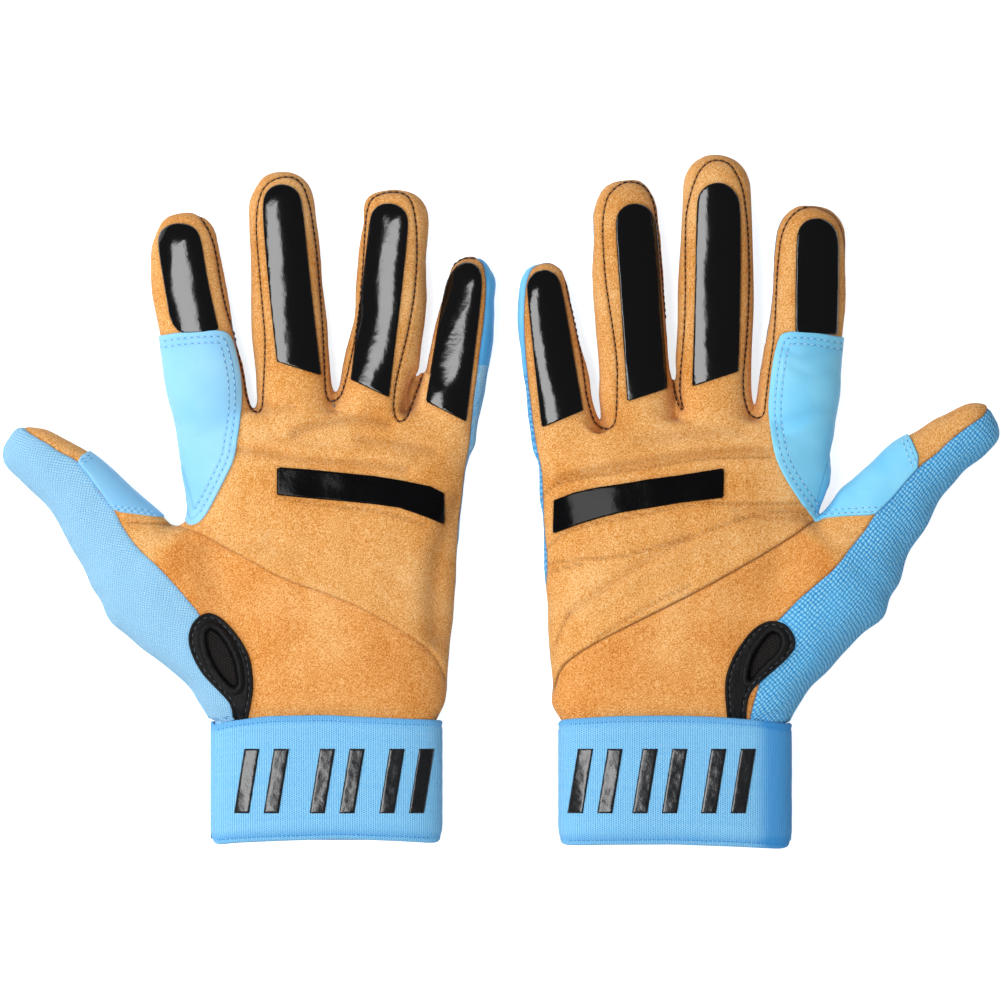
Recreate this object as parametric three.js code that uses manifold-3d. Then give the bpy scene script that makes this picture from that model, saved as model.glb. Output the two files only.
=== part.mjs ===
// A pair of batting gloves lying palm up, fingers along +Y and thumbs outwards.
// Millimetres, +Z up. Each glove is built in its own frame: x runs towards the little
// finger, y from the lower edge of the wrist strap to the fingertips, z up from the
// surface that the glove lies on. The right glove is the same construction mirrored.
import * as THREE from 'three';
import Module from 'manifold-3d';
import { mergeVertices } from 'three/addons/utils/BufferGeometryUtils.js';

const wasm = await Module();
wasm.setup();

// Sizes that both gloves share

const skinWall = 1.2;
const clearance = 0.3;
const overrun = 3;
const palmLength = 151;
const palmHalfDepth = 14.6;
const pairGap = 7.33;
const rightGloveDrop = 0.7;

const strap = {
  width: 43,
  halfWidth: 40,
  halfDepth: 12,
  centreHeight: 16,
  wall: 1.6,
  exponent: 3.2,
  backEnd: -20,
};

const closure = {
  axisHeight: 14,
  wall: 1.5,
  endReach: 18,
  padLength: 30,
  padWidth: 33,
  padThickness: 0.6,
  padCorner: 3,
};

const wristHem = 2;

const knuckle = {
  hingeRise: 6,
  mouthGap: 0.6,
  socketClearance: 0.9,
};

const overlayThickness = 0.8;
const fourchetteWidth = 2.6;

const keyhole = {
  bindingWidth: 4.4,
  tailHalfWidth: 2.7,
  eyeTailHalfWidth: 1,
  tailRise: 1.2,
  eyeRise: 9,
};

// Palm sections from the wrist to the knuckles: height of the middle as a share of the
// strap's, half depth as a share of the palm's, share of the way up, and share of the way
// from the wrist edge to the knuckle edge on each side
const palmMiddleShares = [1, 1, 0.9625, 0.894, 0.856, 0.8125, 0.756, 0.7, 0.7];
const palmHalfDepthShares = [0.692, 0.692, 0.822, 1, 0.973, 0.932, 0.87, 0.795, 0.781];
const palmRiseShares = [0, 0, 0.035, 0.163, 0.356, 0.644, 0.837, 1, 1];
const palmThumbEdgeShares = [0, 0, 0.06, 0.26, 0.45, 0.59, 0.76, 1, 1];
const palmLittleEdgeShares = [0, 0, 0.15, 0.28, 0.41, 0.56, 0.72, 1, 1];
const palmExponents = [3.2, 3.2, 2.9, 2.6, 2.5, 2.5, 2.6, 2.8, 2.8];

// Sections of the ball of the thumb, each between an outer and an inner edge point, as
// shares of the palm width and the palm length
const thenarOuterShares = [[-0.462, 0.368], [-0.593, 0.449], [-0.692, 0.52]];
const thenarInnerShares = [[-0.2, 0.437], [-0.3, 0.596], [-0.39, 0.735]];
const thenarMiddleShares = [0.906, 0.875, 0.844];
const thenarHalfDepthShares = [0.932, 0.932, 0.911];
const thenarExponent = 2.4;

// Outlines on the palm side, as shares of the palm width and the palm length
const palmSeamShares = [[-0.49, 0.735], [-0.41, 0.71], [-0.25, 0.646], [-0.12, 0.597],
  [0.08, 0.54], [0.22, 0.485], [0.325, 0.44], [0.372, 0.408], [0.4, 0.36], [0.6, 0.31]];
const heelEdgeShares = [[-0.6, 0.66], [-0.546, 0.628], [-0.487, 0.583], [-0.44, 0.548]];
const gripBarTopShares = [[-0.163, 0.859], [0.063, 0.845], [0.243, 0.829], [0.342, 0.813],
  [0.392, 0.792]];
const gripBarBottomShares = [[0.392, 0.72], [0.309, 0.742], [0.243, 0.763], [0.079, 0.78],
  [-0.163, 0.794]];
const patchRootShare = 0.74;
const patchEdgeShares = [[-0.3, 0.93], [-0.315, 0.883], [-0.345, 0.835],
  [-0.38, 0.79], [-0.41, 0.757], [-0.445, 0.735], [-0.48, 0.733], [-0.62, 0.733]];

const palmSides = 20;
const palmLiningSides = 16;
const fingerSides = 14;
const liningSides = 10;
const arcSteps = 3;

// Depths that fingers share, and how far the thumb bows
const fingerDepths = {
  rootHalfDepth: 9,
  tipHalfDepth: 7.8,
  rootHeight: 11,
  tipHeight: 9,
  bow: 0,
};
const littleDepths = {
  rootHalfDepth: 8.6,
  tipHalfDepth: 7,
  rootHeight: 10.8,
  tipHeight: 8.6,
  bow: 0,
};
const thumbDepths = {
  rootHalfDepth: 11,
  tipHalfDepth: 8.2,
  rootHeight: 13,
  tipHeight: 10,
  bow: 3.6,
};

// Fingers of the left hand: root line as a share of the palm length, lean away from +Y
// in degrees, reach from the root line to the tip, widths
const leftIndex = { rootShare: 1, leanAngle: -8.8, reach: 67.8, rootWidth: 27.5, tipWidth: 22.8 };
const leftMiddle = { rootShare: 1.007, leanAngle: -4, reach: 80.4, rootWidth: 25.8, tipWidth: 22.8 };
const leftRing = { rootShare: 1.003, leanAngle: 7.3, reach: 75.1, rootWidth: 24.8, tipWidth: 22.4 };
const leftLittle = { rootShare: 0.974, leanAngle: 10.8, reach: 57, rootWidth: 23.5, tipWidth: 17.6 };
const leftThumb = { rootShare: 0.641, sideShare: -0.6073, leanAngle: -45, reach: 61.5,
  rootWidth: 35.4, tipWidth: 20 };
const leftGaps = { indexMiddle: 2.9, middleRing: 1.7, ringLittle: 1 };

const rightIndex = { rootShare: 0.993, leanAngle: -5, reach: 71.8, rootWidth: 26.7, tipWidth: 23.1 };
const rightMiddle = { rootShare: 1.007, leanAngle: -0.4, reach: 86.4, rootWidth: 25, tipWidth: 23.1 };
const rightRing = { rootShare: 0.993, leanAngle: 3.9, reach: 80, rootWidth: 25, tipWidth: 22.6 };
const rightLittle = { rootShare: 0.96, leanAngle: 8, reach: 57, rootWidth: 23.5, tipWidth: 18 };
const rightThumb = { rootShare: 0.654, sideShare: -0.5851, leanAngle: -42.6, reach: 70,
  rootWidth: 36, tipWidth: 20.5 };
const rightGaps = { indexMiddle: 1.7, middleRing: 1.4, ringLittle: 1.3 };

// The keyhole's head as shares of the palm width and the palm length, its tail as a
// share of the strap's half width, and the grip strips as shares of each finger
const leftHand = {
  side: 'left',
  middleOffset: -10.4,
  headRadius: 9.8,
  gaps: leftGaps,
  fingers: {
    index: { ...fingerDepths, ...leftIndex },
    middle: { ...fingerDepths, ...leftMiddle },
    ring: { ...fingerDepths, ...leftRing },
    little: { ...littleDepths, ...leftLittle },
    thumb: { ...thumbDepths, ...leftThumb },
  },
  headShares: [-0.3573, 0.4623],
  tailShare: -0.715,
  gripShares: {
    index: [[-0.64, 0.4], [0.56, 0.385], [0.52, 0.86], [-0.08, 0.955], [-0.66, 0.86]],
    middle: [[-0.48, 0.19], [0.7, 0.135], [0.52, 0.87], [-0.03, 0.948], [-0.56, 0.87]],
    ring: [[-0.62, 0.15], [0.5, 0.145], [0.38, 0.85], [-0.22, 0.935], [-0.68, 0.83]],
    little: [[-0.52, 0.19], [0.62, 0.185], [0.42, 0.86], [-0.04, 0.955], [-0.56, 0.78]],
  },
};

const rightHand = {
  side: 'right',
  middleOffset: -14.2,
  headRadius: 9.4,
  gaps: rightGaps,
  fingers: {
    index: { ...fingerDepths, ...rightIndex },
    middle: { ...fingerDepths, ...rightMiddle },
    ring: { ...fingerDepths, ...rightRing },
    little: { ...littleDepths, ...rightLittle },
    thumb: { ...thumbDepths, ...rightThumb },
  },
  headShares: [-0.3117, 0.4517],
  tailShare: -0.535,
  gripShares: {
    index: [[-0.9, 0.39], [0.18, 0.388], [0.36, 0.85], [-0.1, 0.936], [-0.74, 0.865]],
    middle: [[-0.62, 0.135], [0.64, 0.13], [0.54, 0.815], [-0.04, 0.888], [-0.64, 0.815]],
    ring: [[-0.8, 0.142], [0.32, 0.14], [0.32, 0.81], [-0.24, 0.9], [-0.82, 0.81]],
    little: [[-0.58, 0.19], [0.64, 0.185], [0.55, 0.84], [0.01, 0.946], [-0.45, 0.84]],
  },
};

// Outlines on the thumb, as shares of its half root width and its reach
const thumbFrontEdgeShares = [[0.24, -0.14], [0.26, 0.1], [0.36, 0.2], [0.45, 0.28],
  [0.59, 0.41], [0.66, 0.51], [0.69, 0.62], [0.6, 0.73], [0.54, 0.82], [0.42, 0.96]];
const thumbPatchShares = [[0.45, 0.28], [0.59, 0.41], [0.66, 0.51], [0.69, 0.62],
  [1.2, 0.65], [1.2, 0.14], [0.92, 0.14]];

// Outline of the leather patch on the index finger, as shares of its half root width
// and its reach
const indexPatchShares = [[-1.2, 0.16], [0.89, 0.16], [0.88, 0.2], [0.82, 0.3],
  [0.6, 0.375], [-1.2, 0.39]];

// Materials

function material(color, roughness) {
  return new THREE.MeshStandardMaterial({ color, roughness, metalness: 0 });
}

const suede = material(0xdd9c52, 0.95);
const leatherBlue = material(0x86cdf5, 0.45);
const meshBlue = material(0x7cbfe8, 0.9);
const elasticBlue = material(0x8accf4, 0.85);
const gripBlack = material(0x1b1c20, 0.25);
const bindingBlack = material(0x1a1a1a, 0.8);
const meshBlack = material(0x1c1a1a, 0.95);
const hookBlack = material(0x232427, 0.9);

// Solids

function toSolid(geometry) {
  const bare = geometry.clone();
  bare.deleteAttribute('normal');
  bare.deleteAttribute('uv');
  const merged = mergeVertices(bare);
  const vertProperties = new Float32Array(merged.attributes.position.array);
  const triVerts = new Uint32Array(merged.index.array);
  return new wasm.Manifold(new wasm.Mesh({ numProp: 3, vertProperties, triVerts }));
}

function toMesh(name, solid, finish) {
  const { vertProperties, triVerts } = solid.getMesh();
  const geometry = new THREE.BufferGeometry();
  geometry.setAttribute('position', new THREE.BufferAttribute(vertProperties, 3));
  geometry.setIndex(new THREE.BufferAttribute(triVerts, 1));
  geometry.computeVertexNormals();
  const mesh = new THREE.Mesh(geometry, finish);
  mesh.name = name;
  return mesh;
}

// A closed skin through rings of points that run anticlockwise seen from the first ring
function loft(rings) {
  const sides = rings[0].length;
  const positions = rings.flat().flatMap((point) => point.toArray());
  const index = [];
  const at = (ring, side) => ring * sides + (side % sides);
  for (let ring = 0; ring + 1 < rings.length; ring += 1) {
    for (let side = 0; side < sides; side += 1) {
      index.push(at(ring, side), at(ring + 1, side), at(ring, side + 1));
      index.push(at(ring, side + 1), at(ring + 1, side), at(ring + 1, side + 1));
    }
  }
  const middleOf = (ring) => ring.reduce((sum, point) => sum.add(point), new THREE.Vector3())
    .divideScalar(sides);
  const first = positions.length / 3;
  positions.push(...middleOf(rings[0]).toArray(), ...middleOf(rings.at(-1)).toArray());
  for (let side = 0; side < sides; side += 1) {
    index.push(first, at(0, side), at(0, side + 1));
    index.push(first + 1, at(rings.length - 1, side + 1), at(rings.length - 1, side));
  }
  const geometry = new THREE.BufferGeometry();
  geometry.setAttribute('position', new THREE.Float32BufferAttribute(positions, 3));
  geometry.setIndex(index);
  return toSolid(geometry);
}

// Points of a rounded section in the plane of across and +Z
function section(centre, across, halfWidth, halfDepth, exponent, sides) {
  const points = [];
  for (let side = 0; side < sides; side += 1) {
    const angle = (2 * Math.PI * side) / sides;
    const cos = Math.cos(angle);
    const sin = Math.sin(angle);
    const flat = halfWidth * Math.sign(cos) * Math.abs(cos) ** (2 / exponent);
    const rise = halfDepth * Math.sign(sin) * Math.abs(sin) ** (2 / exponent);
    points.push(centre.clone().addScaledVector(across, flat).setZ(centre.z + rise));
  }
  return points;
}

function shapeOf(points) {
  return new THREE.Shape(points.map(([x, y]) => new THREE.Vector2(x, y)));
}

// A flat outline made into a block from one height to another
function prism(shape, low, high) {
  const geometry = new THREE.ExtrudeGeometry(shape,
    { depth: high - low, bevelEnabled: false, curveSegments: arcSteps });
  return toSolid(geometry.translate(0, 0, low));
}

// An outline in the x and z plane made into a block along +Y
function crossBlock(shape, from, to) {
  const geometry = new THREE.ExtrudeGeometry(shape,
    { depth: to - from, bevelEnabled: false });
  geometry.rotateX(Math.PI / 2);
  return toSolid(geometry.translate(0, to, 0));
}

// An outline in the y and z plane made into a block along +X
function sideBlock(shape, halfLength) {
  const geometry = new THREE.ExtrudeGeometry(shape, { depth: 2 * halfLength, bevelEnabled: false });
  geometry.applyMatrix4(new THREE.Matrix4().makeBasis(new THREE.Vector3(0, 1, 0),
    new THREE.Vector3(0, 0, 1), new THREE.Vector3(1, 0, 0)));
  return toSolid(geometry.translate(-halfLength, 0, 0));
}

const mitreLimit = 0.4;

// An outline moved outwards by a distance, corner by corner
function offsetOutline(points, distance) {
  const area = THREE.ShapeUtils.area(points.map(([x, y]) => new THREE.Vector2(x, y)));
  const turn = Math.sign(area);
  return points.map(([x, y], index) => {
    const before = points.at(index - 1);
    const after = points[(index + 1) % points.length];
    const into = new THREE.Vector2(x - before[0], y - before[1]).normalize();
    const out = new THREE.Vector2(after[0] - x, after[1] - y).normalize();
    const mitre = new THREE.Vector2(into.y + out.y, -into.x - out.x).multiplyScalar(turn);
    mitre.multiplyScalar(distance / Math.max(1 + into.dot(out), mitreLimit));
    return [x + mitre.x, y + mitre.y];
  });
}

// Fingers, in a frame with the knuckle hinge as origin, x across and y along the finger

function fingerDepthShare(finger) {
  return (finger.tipHeight - finger.rootHeight) / (finger.reach - knuckle.hingeRise);
}

const fingerExponent = 2.3;
const domeExponent = 0.8;
const knuckleShares = [1, 0.55];
const tubeShares = [0, 0.5, 1];
const domeAngles = [27, 54, 79];
const liningTubeShares = [0, 0.5, 1];
const liningDomeAngles = [38, 72];

function fingerSolid(finger, grow, opened) {
  const across = new THREE.Vector3(1, 0, 0);
  const sides = opened ? liningSides : fingerSides;
  const length = finger.reach - knuckle.hingeRise;
  const rootHalf = finger.rootWidth / 2;
  const tipHalf = finger.tipWidth / 2;
  const tube = length - tipHalf;
  const ring = (x, y, z, width, depth) => section(new THREE.Vector3(x, y, z), across,
    width, depth, fingerExponent, sides);
  const bowAt = (y) => finger.bow * Math.sin(Math.PI * Math.min(Math.max(y, 0) / length, 1));
  const rings = [];
  const mouthReach = knuckle.hingeRise - knuckle.mouthGap;
  const roundAt = (y) => Math.sqrt(1 - (y / finger.rootHalfDepth) ** 2);
  if (opened) {
    rings.push(ring(0, -mouthReach - overrun, 0, (rootHalf + grow) * roundAt(mouthReach),
      (finger.rootHalfDepth + grow) * roundAt(mouthReach)));
  }
  for (const share of knuckleShares) {
    const y = -share * mouthReach;
    rings.push(ring(0, y, 0, (rootHalf + grow) * roundAt(y),
      (finger.rootHalfDepth + grow) * roundAt(y)));
  }
  for (const share of opened ? liningTubeShares : tubeShares) {
    const y = share * tube;
    const drop = fingerDepthShare(finger) * y;
    const depth = THREE.MathUtils.lerp(finger.rootHalfDepth, finger.tipHalfDepth, share);
    const width = THREE.MathUtils.lerp(rootHalf, tipHalf, share);
    rings.push(ring(bowAt(y), y, drop, width + grow, depth + grow));
  }
  for (const angle of opened ? liningDomeAngles : domeAngles) {
    const radians = THREE.MathUtils.degToRad(angle);
    const y = tube + (tipHalf + grow) * Math.sin(radians);
    const drop = fingerDepthShare(finger) * y;
    const scale = Math.cos(radians) ** domeExponent;
    rings.push(ring(bowAt(y), y, drop, (tipHalf + grow) * scale,
      (finger.tipHalfDepth + grow) * scale));
  }
  return loft(rings);
}

// The overlay that lies on a finger inside an outline
function fingerOverlay(finger, shape) {
  const skin = fingerSolid(finger, clearance + overlayThickness, false)
    .subtract(fingerSolid(finger, clearance, false));
  return skin.intersect(prism(shape, 0, 2 * finger.rootHalfDepth));
}

// The place of a point that is given in shares of a finger, from its hinge
function onFinger(finger, [acrossShare, alongShare]) {
  return [acrossShare * finger.rootWidth / 2,
    alongShare * finger.reach - knuckle.hingeRise];
}

function gripShape(finger, shares) {
  const [low, lowFar, highFar, top, high] = shares.map((share) => onFinger(finger, share));
  const shape = new THREE.Shape();
  shape.moveTo(...low);
  shape.lineTo(...lowFar);
  shape.lineTo(...highFar);
  shape.quadraticCurveTo(highFar[0], top[1], ...top);
  shape.quadraticCurveTo(high[0], top[1], ...high);
  shape.closePath();
  return shape;
}

// The palm-side panel of a finger keeps clear of the edge by the fourchette's width
function frontOutline(finger, spread) {
  const length = finger.reach - knuckle.hingeRise;
  const rootHalf = finger.rootWidth / 2 - fourchetteWidth + spread;
  const tipHalf = finger.tipWidth / 2 - fourchetteWidth + spread;
  const shoulder = length - finger.tipWidth / 2;
  const top = length - fourchetteWidth + spread;
  const shape = new THREE.Shape();
  shape.moveTo(-rootHalf, -knuckle.hingeRise - overrun);
  shape.lineTo(rootHalf, -knuckle.hingeRise - overrun);
  shape.lineTo(tipHalf, shoulder);
  shape.quadraticCurveTo(tipHalf, top, 0, top);
  shape.quadraticCurveTo(-tipHalf, top, -tipHalf, shoulder);
  shape.closePath();
  return shape;
}

function thumbFrontOutline(finger, spread) {
  const edge = thumbFrontEdgeShares.map((share) => onFinger(finger, share));
  const far = finger.rootWidth;
  const outline = [[far, edge[0][1] - overrun], [far, finger.reach + overrun],
    [edge.at(-1)[0], finger.reach + overrun], ...edge.toReversed(),
    [edge[0][0], edge[0][1] - overrun]];
  return shapeOf(offsetOutline(outline, spread));
}

function fingerShell(finger) {
  return fingerSolid(finger, 0, false).subtract(fingerSolid(finger, -skinWall, true));
}

function addFinger(group, name, finger, shares) {
  const shell = fingerShell(finger);
  const high = 2 * finger.rootHalfDepth;
  const front = shell.intersect(prism(frontOutline(finger, 0), 0, high));
  const back = shell.subtract(prism(frontOutline(finger, clearance), -clearance, high));
  group.add(toMesh(`${name}_front`, front, suede));
  group.add(toMesh(`${name}_back`, back, meshBlue));
  const grip = fingerOverlay(finger, gripShape(finger, shares));
  group.add(toMesh(`${name}_grip`, grip, gripBlack));
}

function addIndexPatch(group, name, finger) {
  const points = indexPatchShares.map((share) => onFinger(finger, share));
  const patch = fingerOverlay(finger, shapeOf(points));
  group.add(toMesh(name, patch, leatherBlue));
}

function addThumb(group, name, thumb) {
  const shell = fingerShell(thumb);
  const high = 2 * thumb.rootHalfDepth;
  const front = shell.intersect(prism(thumbFrontOutline(thumb, 0), 0, high));
  const back = shell.subtract(prism(thumbFrontOutline(thumb, clearance), -clearance, high));
  group.add(toMesh(`${name}_front`, front, suede));
  group.add(toMesh(`${name}_back`, back, meshBlue));
  const points = thumbPatchShares.map((share) => onFinger(thumb, share));
  group.add(toMesh(`${name}_patch`, fingerOverlay(thumb, shapeOf(points)), leatherBlue));
}

// Where each finger stands in the glove

function placeFingers(hand) {
  const { index, middle, ring, little } = hand.fingers;
  const between = (a, b, gap) => (a.rootWidth + b.rootWidth) / 2 + gap;
  const middleX = hand.middleOffset;
  const ringX = middleX + between(middle, ring, hand.gaps.middleRing);
  const places = {
    index: middleX - between(index, middle, hand.gaps.indexMiddle),
    middle: middleX,
    ring: ringX,
    little: ringX + between(ring, little, hand.gaps.ringLittle),
  };
  const width = places.little - places.index + between(index, little, 0);
  places.thumb = hand.fingers.thumb.sideShare * width;
  const placed = {};
  for (const [name, finger] of Object.entries(hand.fingers)) {
    placed[name] = { ...finger, rootX: places[name], rootY: finger.rootShare * palmLength };
  }
  return placed;
}

function alongOf(finger) {
  const lean = THREE.MathUtils.degToRad(finger.leanAngle);
  return new THREE.Vector2(Math.sin(lean), Math.cos(lean));
}

function acrossOf(finger) {
  const lean = THREE.MathUtils.degToRad(finger.leanAngle);
  return new THREE.Vector2(Math.cos(lean), -Math.sin(lean));
}

function onRootLine(finger, across, along) {
  const point = new THREE.Vector2(finger.rootX, finger.rootY);
  point.addScaledVector(acrossOf(finger), across).addScaledVector(alongOf(finger), along);
  return [point.x, point.y];
}

function hingeGroup(finger) {
  const group = new THREE.Group();
  const [x, y] = onRootLine(finger, 0, knuckle.hingeRise);
  group.position.set(x, y, finger.rootHeight);
  group.rotation.z = -THREE.MathUtils.degToRad(finger.leanAngle);
  return group;
}

// The socket in the palm end that a knuckle turns in
function socket(finger) {
  const group = hingeGroup(finger);
  group.updateMatrix();
  const geometry = new THREE.SphereGeometry(1, fingerSides, fingerSides / 2);
  const outside = 1 / Math.cos(Math.PI / fingerSides);
  const depth = (finger.rootHalfDepth + knuckle.socketClearance) * outside;
  const width = (finger.rootWidth / 2 + knuckle.socketClearance) * outside;
  geometry.scale(width, depth, depth);
  return toSolid(geometry.applyMatrix4(group.matrix));
}

// The hand of the glove, from the wrist to the finger roots

function palmSize(fingers) {
  const left = fingers.index.rootX - fingers.index.rootWidth / 2;
  const right = fingers.little.rootX + fingers.little.rootWidth / 2;
  return { left, right, width: right - left };
}

function palmLoft(fingers, grow, low) {
  const edge = palmSize(fingers);
  const wristHalf = strap.halfWidth - strap.wall - clearance;
  const wristTop = strap.width + clearance;
  const knuckles = fingers.little.rootY;
  const rings = palmRiseShares.map((share, index) => {
    const left = THREE.MathUtils.lerp(-wristHalf, edge.left, palmThumbEdgeShares[index]) - grow;
    const right = THREE.MathUtils.lerp(wristHalf, edge.right, palmLittleEdgeShares[index]) + grow;
    let y = THREE.MathUtils.lerp(wristTop, knuckles, share);
    if (index === 0) y = low;
    if (index === palmRiseShares.length - 1) y = palmLength + 2 * overrun;
    const centre = new THREE.Vector3((left + right) / 2, y,
      palmMiddleShares[index] * strap.centreHeight);
    return section(centre, new THREE.Vector3(1, 0, 0), (right - left) / 2,
      palmHalfDepthShares[index] * palmHalfDepth + grow, palmExponents[index],
      grow < -clearance ? palmLiningSides : palmSides);
  });
  return loft(rings);
}

function thenarLoft(fingers, grow) {
  const { width } = palmSize(fingers);
  const { thumb } = fingers;
  const start = strap.width + 2 * clearance;
  const firstHalf = strap.halfDepth - strap.wall - clearance;
  const edges = [[[-strap.halfWidth, start], [-strap.halfWidth / 3, start],
    strap.centreHeight, firstHalf]];
  thenarOuterShares.forEach(([x, y], index) => {
    const [innerX, innerY] = thenarInnerShares[index];
    edges.push([[x * width, y * palmLength], [innerX * width, innerY * palmLength],
      thenarMiddleShares[index] * strap.centreHeight,
      thenarHalfDepthShares[index] * palmHalfDepth]);
  });
  const rootHalf = thumb.rootWidth / 2;
  const rootDepth = thumb.rootHalfDepth + 2 * skinWall;
  for (const along of [0, overrun]) {
    edges.push([onRootLine(thumb, -rootHalf, along), onRootLine(thumb, rootHalf, along),
      thumb.rootHeight, Math.min(rootDepth, thumb.rootHeight)]);
  }
  const rings = edges.map(([outer, inner, height, half]) => {
    const from = new THREE.Vector3(outer[0], outer[1], height);
    const to = new THREE.Vector3(inner[0], inner[1], height);
    const across = to.clone().sub(from);
    const halfWidth = across.length() / 2 + grow;
    return section(from.add(to).multiplyScalar(0.5), across.normalize(), halfWidth,
      half + grow, thenarExponent, grow < -clearance ? palmLiningSides : palmSides);
  });
  return loft(rings);
}

// The plan outline of the hand, cut square at each root line
function handOutline(fingers) {
  const { index, middle, ring, little, thumb } = fingers;
  const half = (finger) => finger.rootWidth / 2;
  const far = 2 * strap.halfWidth;
  const outline = [[-2 * far, -far], [2 * far, -far]];
  outline.push(onRootLine(little, half(little) + far, 0));
  for (const finger of [little, ring, middle]) {
    if (finger !== little) outline.push(onRootLine(finger, half(finger), 0));
    outline.push(onRootLine(finger, -half(finger), 0));
  }
  outline.push(onRootLine(index, half(index), 0));
  outline.push(onRootLine(index, -half(index) - overrun, 0));
  outline.push(onRootLine(thumb, half(thumb) + skinWall, 0));
  outline.push(onRootLine(thumb, -half(thumb) - far, 0));
  return outline;
}

function handSolid(fingers, grow, low) {
  const body = palmLoft(fingers, grow, low).add(thenarLoft(fingers, grow));
  const reach = grow < 0 ? grow : 0;
  const outline = shapeOf(offsetOutline(handOutline(fingers), reach));
  return body.intersect(prism(outline, -reach, 2 * strap.width));
}

function handShell(fingers) {
  let shell = handSolid(fingers, 0, wristHem);
  shell = shell.subtract(handSolid(fingers, -skinWall, wristHem - overrun));
  for (const finger of Object.values(fingers)) shell = shell.subtract(socket(finger));
  return shell;
}

function palmPoint(fingers, [acrossShare, alongShare]) {
  return [acrossShare * palmSize(fingers).width, alongShare * palmLength];
}

// The teardrop of the keyhole: a round head that narrows to a tail at the strap
function keyholeShape(hand, fingers, inset, tailHalf, tailY) {
  const head = new THREE.Vector2(...palmPoint(fingers, hand.headShares));
  const radius = hand.headRadius - inset;
  const tail = new THREE.Vector2(hand.tailShare * strap.halfWidth, tailY);
  const axis = head.clone().sub(tail);
  const heading = Math.atan2(axis.y, axis.x);
  const shape = new THREE.Shape();
  shape.moveTo(tail.x - tailHalf, tail.y);
  shape.lineTo(tail.x + tailHalf, tail.y);
  shape.absarc(head.x, head.y, radius, heading - Math.PI / 2, heading + Math.PI / 2, false);
  shape.closePath();
  return shape;
}

function keyholeOuter(hand, fingers) {
  const tailY = strap.width + keyhole.tailRise;
  return keyholeShape(hand, fingers, 0, keyhole.tailHalfWidth, tailY);
}

function keyholeInner(hand, fingers, inset) {
  const tailY = strap.width + keyhole.eyeRise + inset;
  const tailHalf = keyhole.eyeTailHalfWidth - inset;
  return keyholeShape(hand, fingers, keyhole.bindingWidth + inset, tailHalf, tailY);
}

// What lies above the seam along the side of the hand, from the wrist to the knuckles
function aboveSeam(raise) {
  const far = 3 * strap.width;
  return shapeOf([[-overrun, far], [-overrun, strap.centreHeight + raise],
    [strap.width, strap.centreHeight + raise], [palmLength / 2, closure.axisHeight + raise],
    [palmLength, strap.halfDepth - skinWall + raise],
    [2 * palmLength, strap.halfDepth - skinWall + raise], [2 * palmLength, far]]);
}

function frontOutlineOfHand(hand, fingers, spread) {
  const far = 2 * strap.halfWidth;
  const boundary = heelEdgeShares.map((share) => palmPoint(fingers, share));
  const { thumb } = fingers;
  const start = onRootLine(thumb, thumbFrontEdgeShares[0][0] * thumb.rootWidth / 2, overrun);
  const tailX = hand.tailShare * strap.halfWidth;
  const outline = [[tailX, -overrun], [2 * far, -overrun], [2 * far, 2 * palmLength],
    [start[0], 2 * palmLength], start, ...boundary, palmPoint(fingers, hand.headShares),
    [tailX, strap.width]];
  return shapeOf(offsetOutline(outline, spread));
}

function addHand(group, hand, fingers) {
  const high = 2 * strap.width;
  const { side } = hand;
  const eye = prism(keyholeInner(hand, fingers, 0), strap.halfDepth, high);
  const shell = handShell(fingers).subtract(eye);
  const far = 2 * palmLength;
  const above = sideBlock(aboveSeam(0), far);
  const front = shell.intersect(prism(frontOutlineOfHand(hand, fingers, 0), 0, high))
    .intersect(above);
  const cut = prism(frontOutlineOfHand(hand, fingers, clearance), -overrun, high)
    .intersect(sideBlock(aboveSeam(-clearance), far));
  const back = shell.subtract(cut);
  const seam = palmSeamShares.map((share) => palmPoint(fingers, share));
  const lower = [[-far, seam[0][1]], ...seam, [far, -overrun], [-far, -overrun]];
  const upper = [[-far, seam[0][1]], ...seam, [far, seam.at(-1)[1]], [far, far], [-far, far]];
  const heel = front.subtract(prism(shapeOf(offsetOutline(upper, clearance / 2)), -overrun, high));
  const palm = front.subtract(prism(shapeOf(offsetOutline(lower, clearance / 2)), -overrun, high));
  group.add(toMesh(`${side}_palm_panel`, palm, suede));
  group.add(toMesh(`${side}_heel_panel`, heel, suede));
  group.add(toMesh(`${side}_back_panel`, back, meshBlue));
}

function handOverlay(fingers, shape) {
  const skin = handSolid(fingers, clearance + overlayThickness, strap.width)
    .subtract(handSolid(fingers, clearance, strap.width - overrun));
  return skin.intersect(prism(shape, strap.halfDepth, 2 * strap.width));
}

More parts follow.
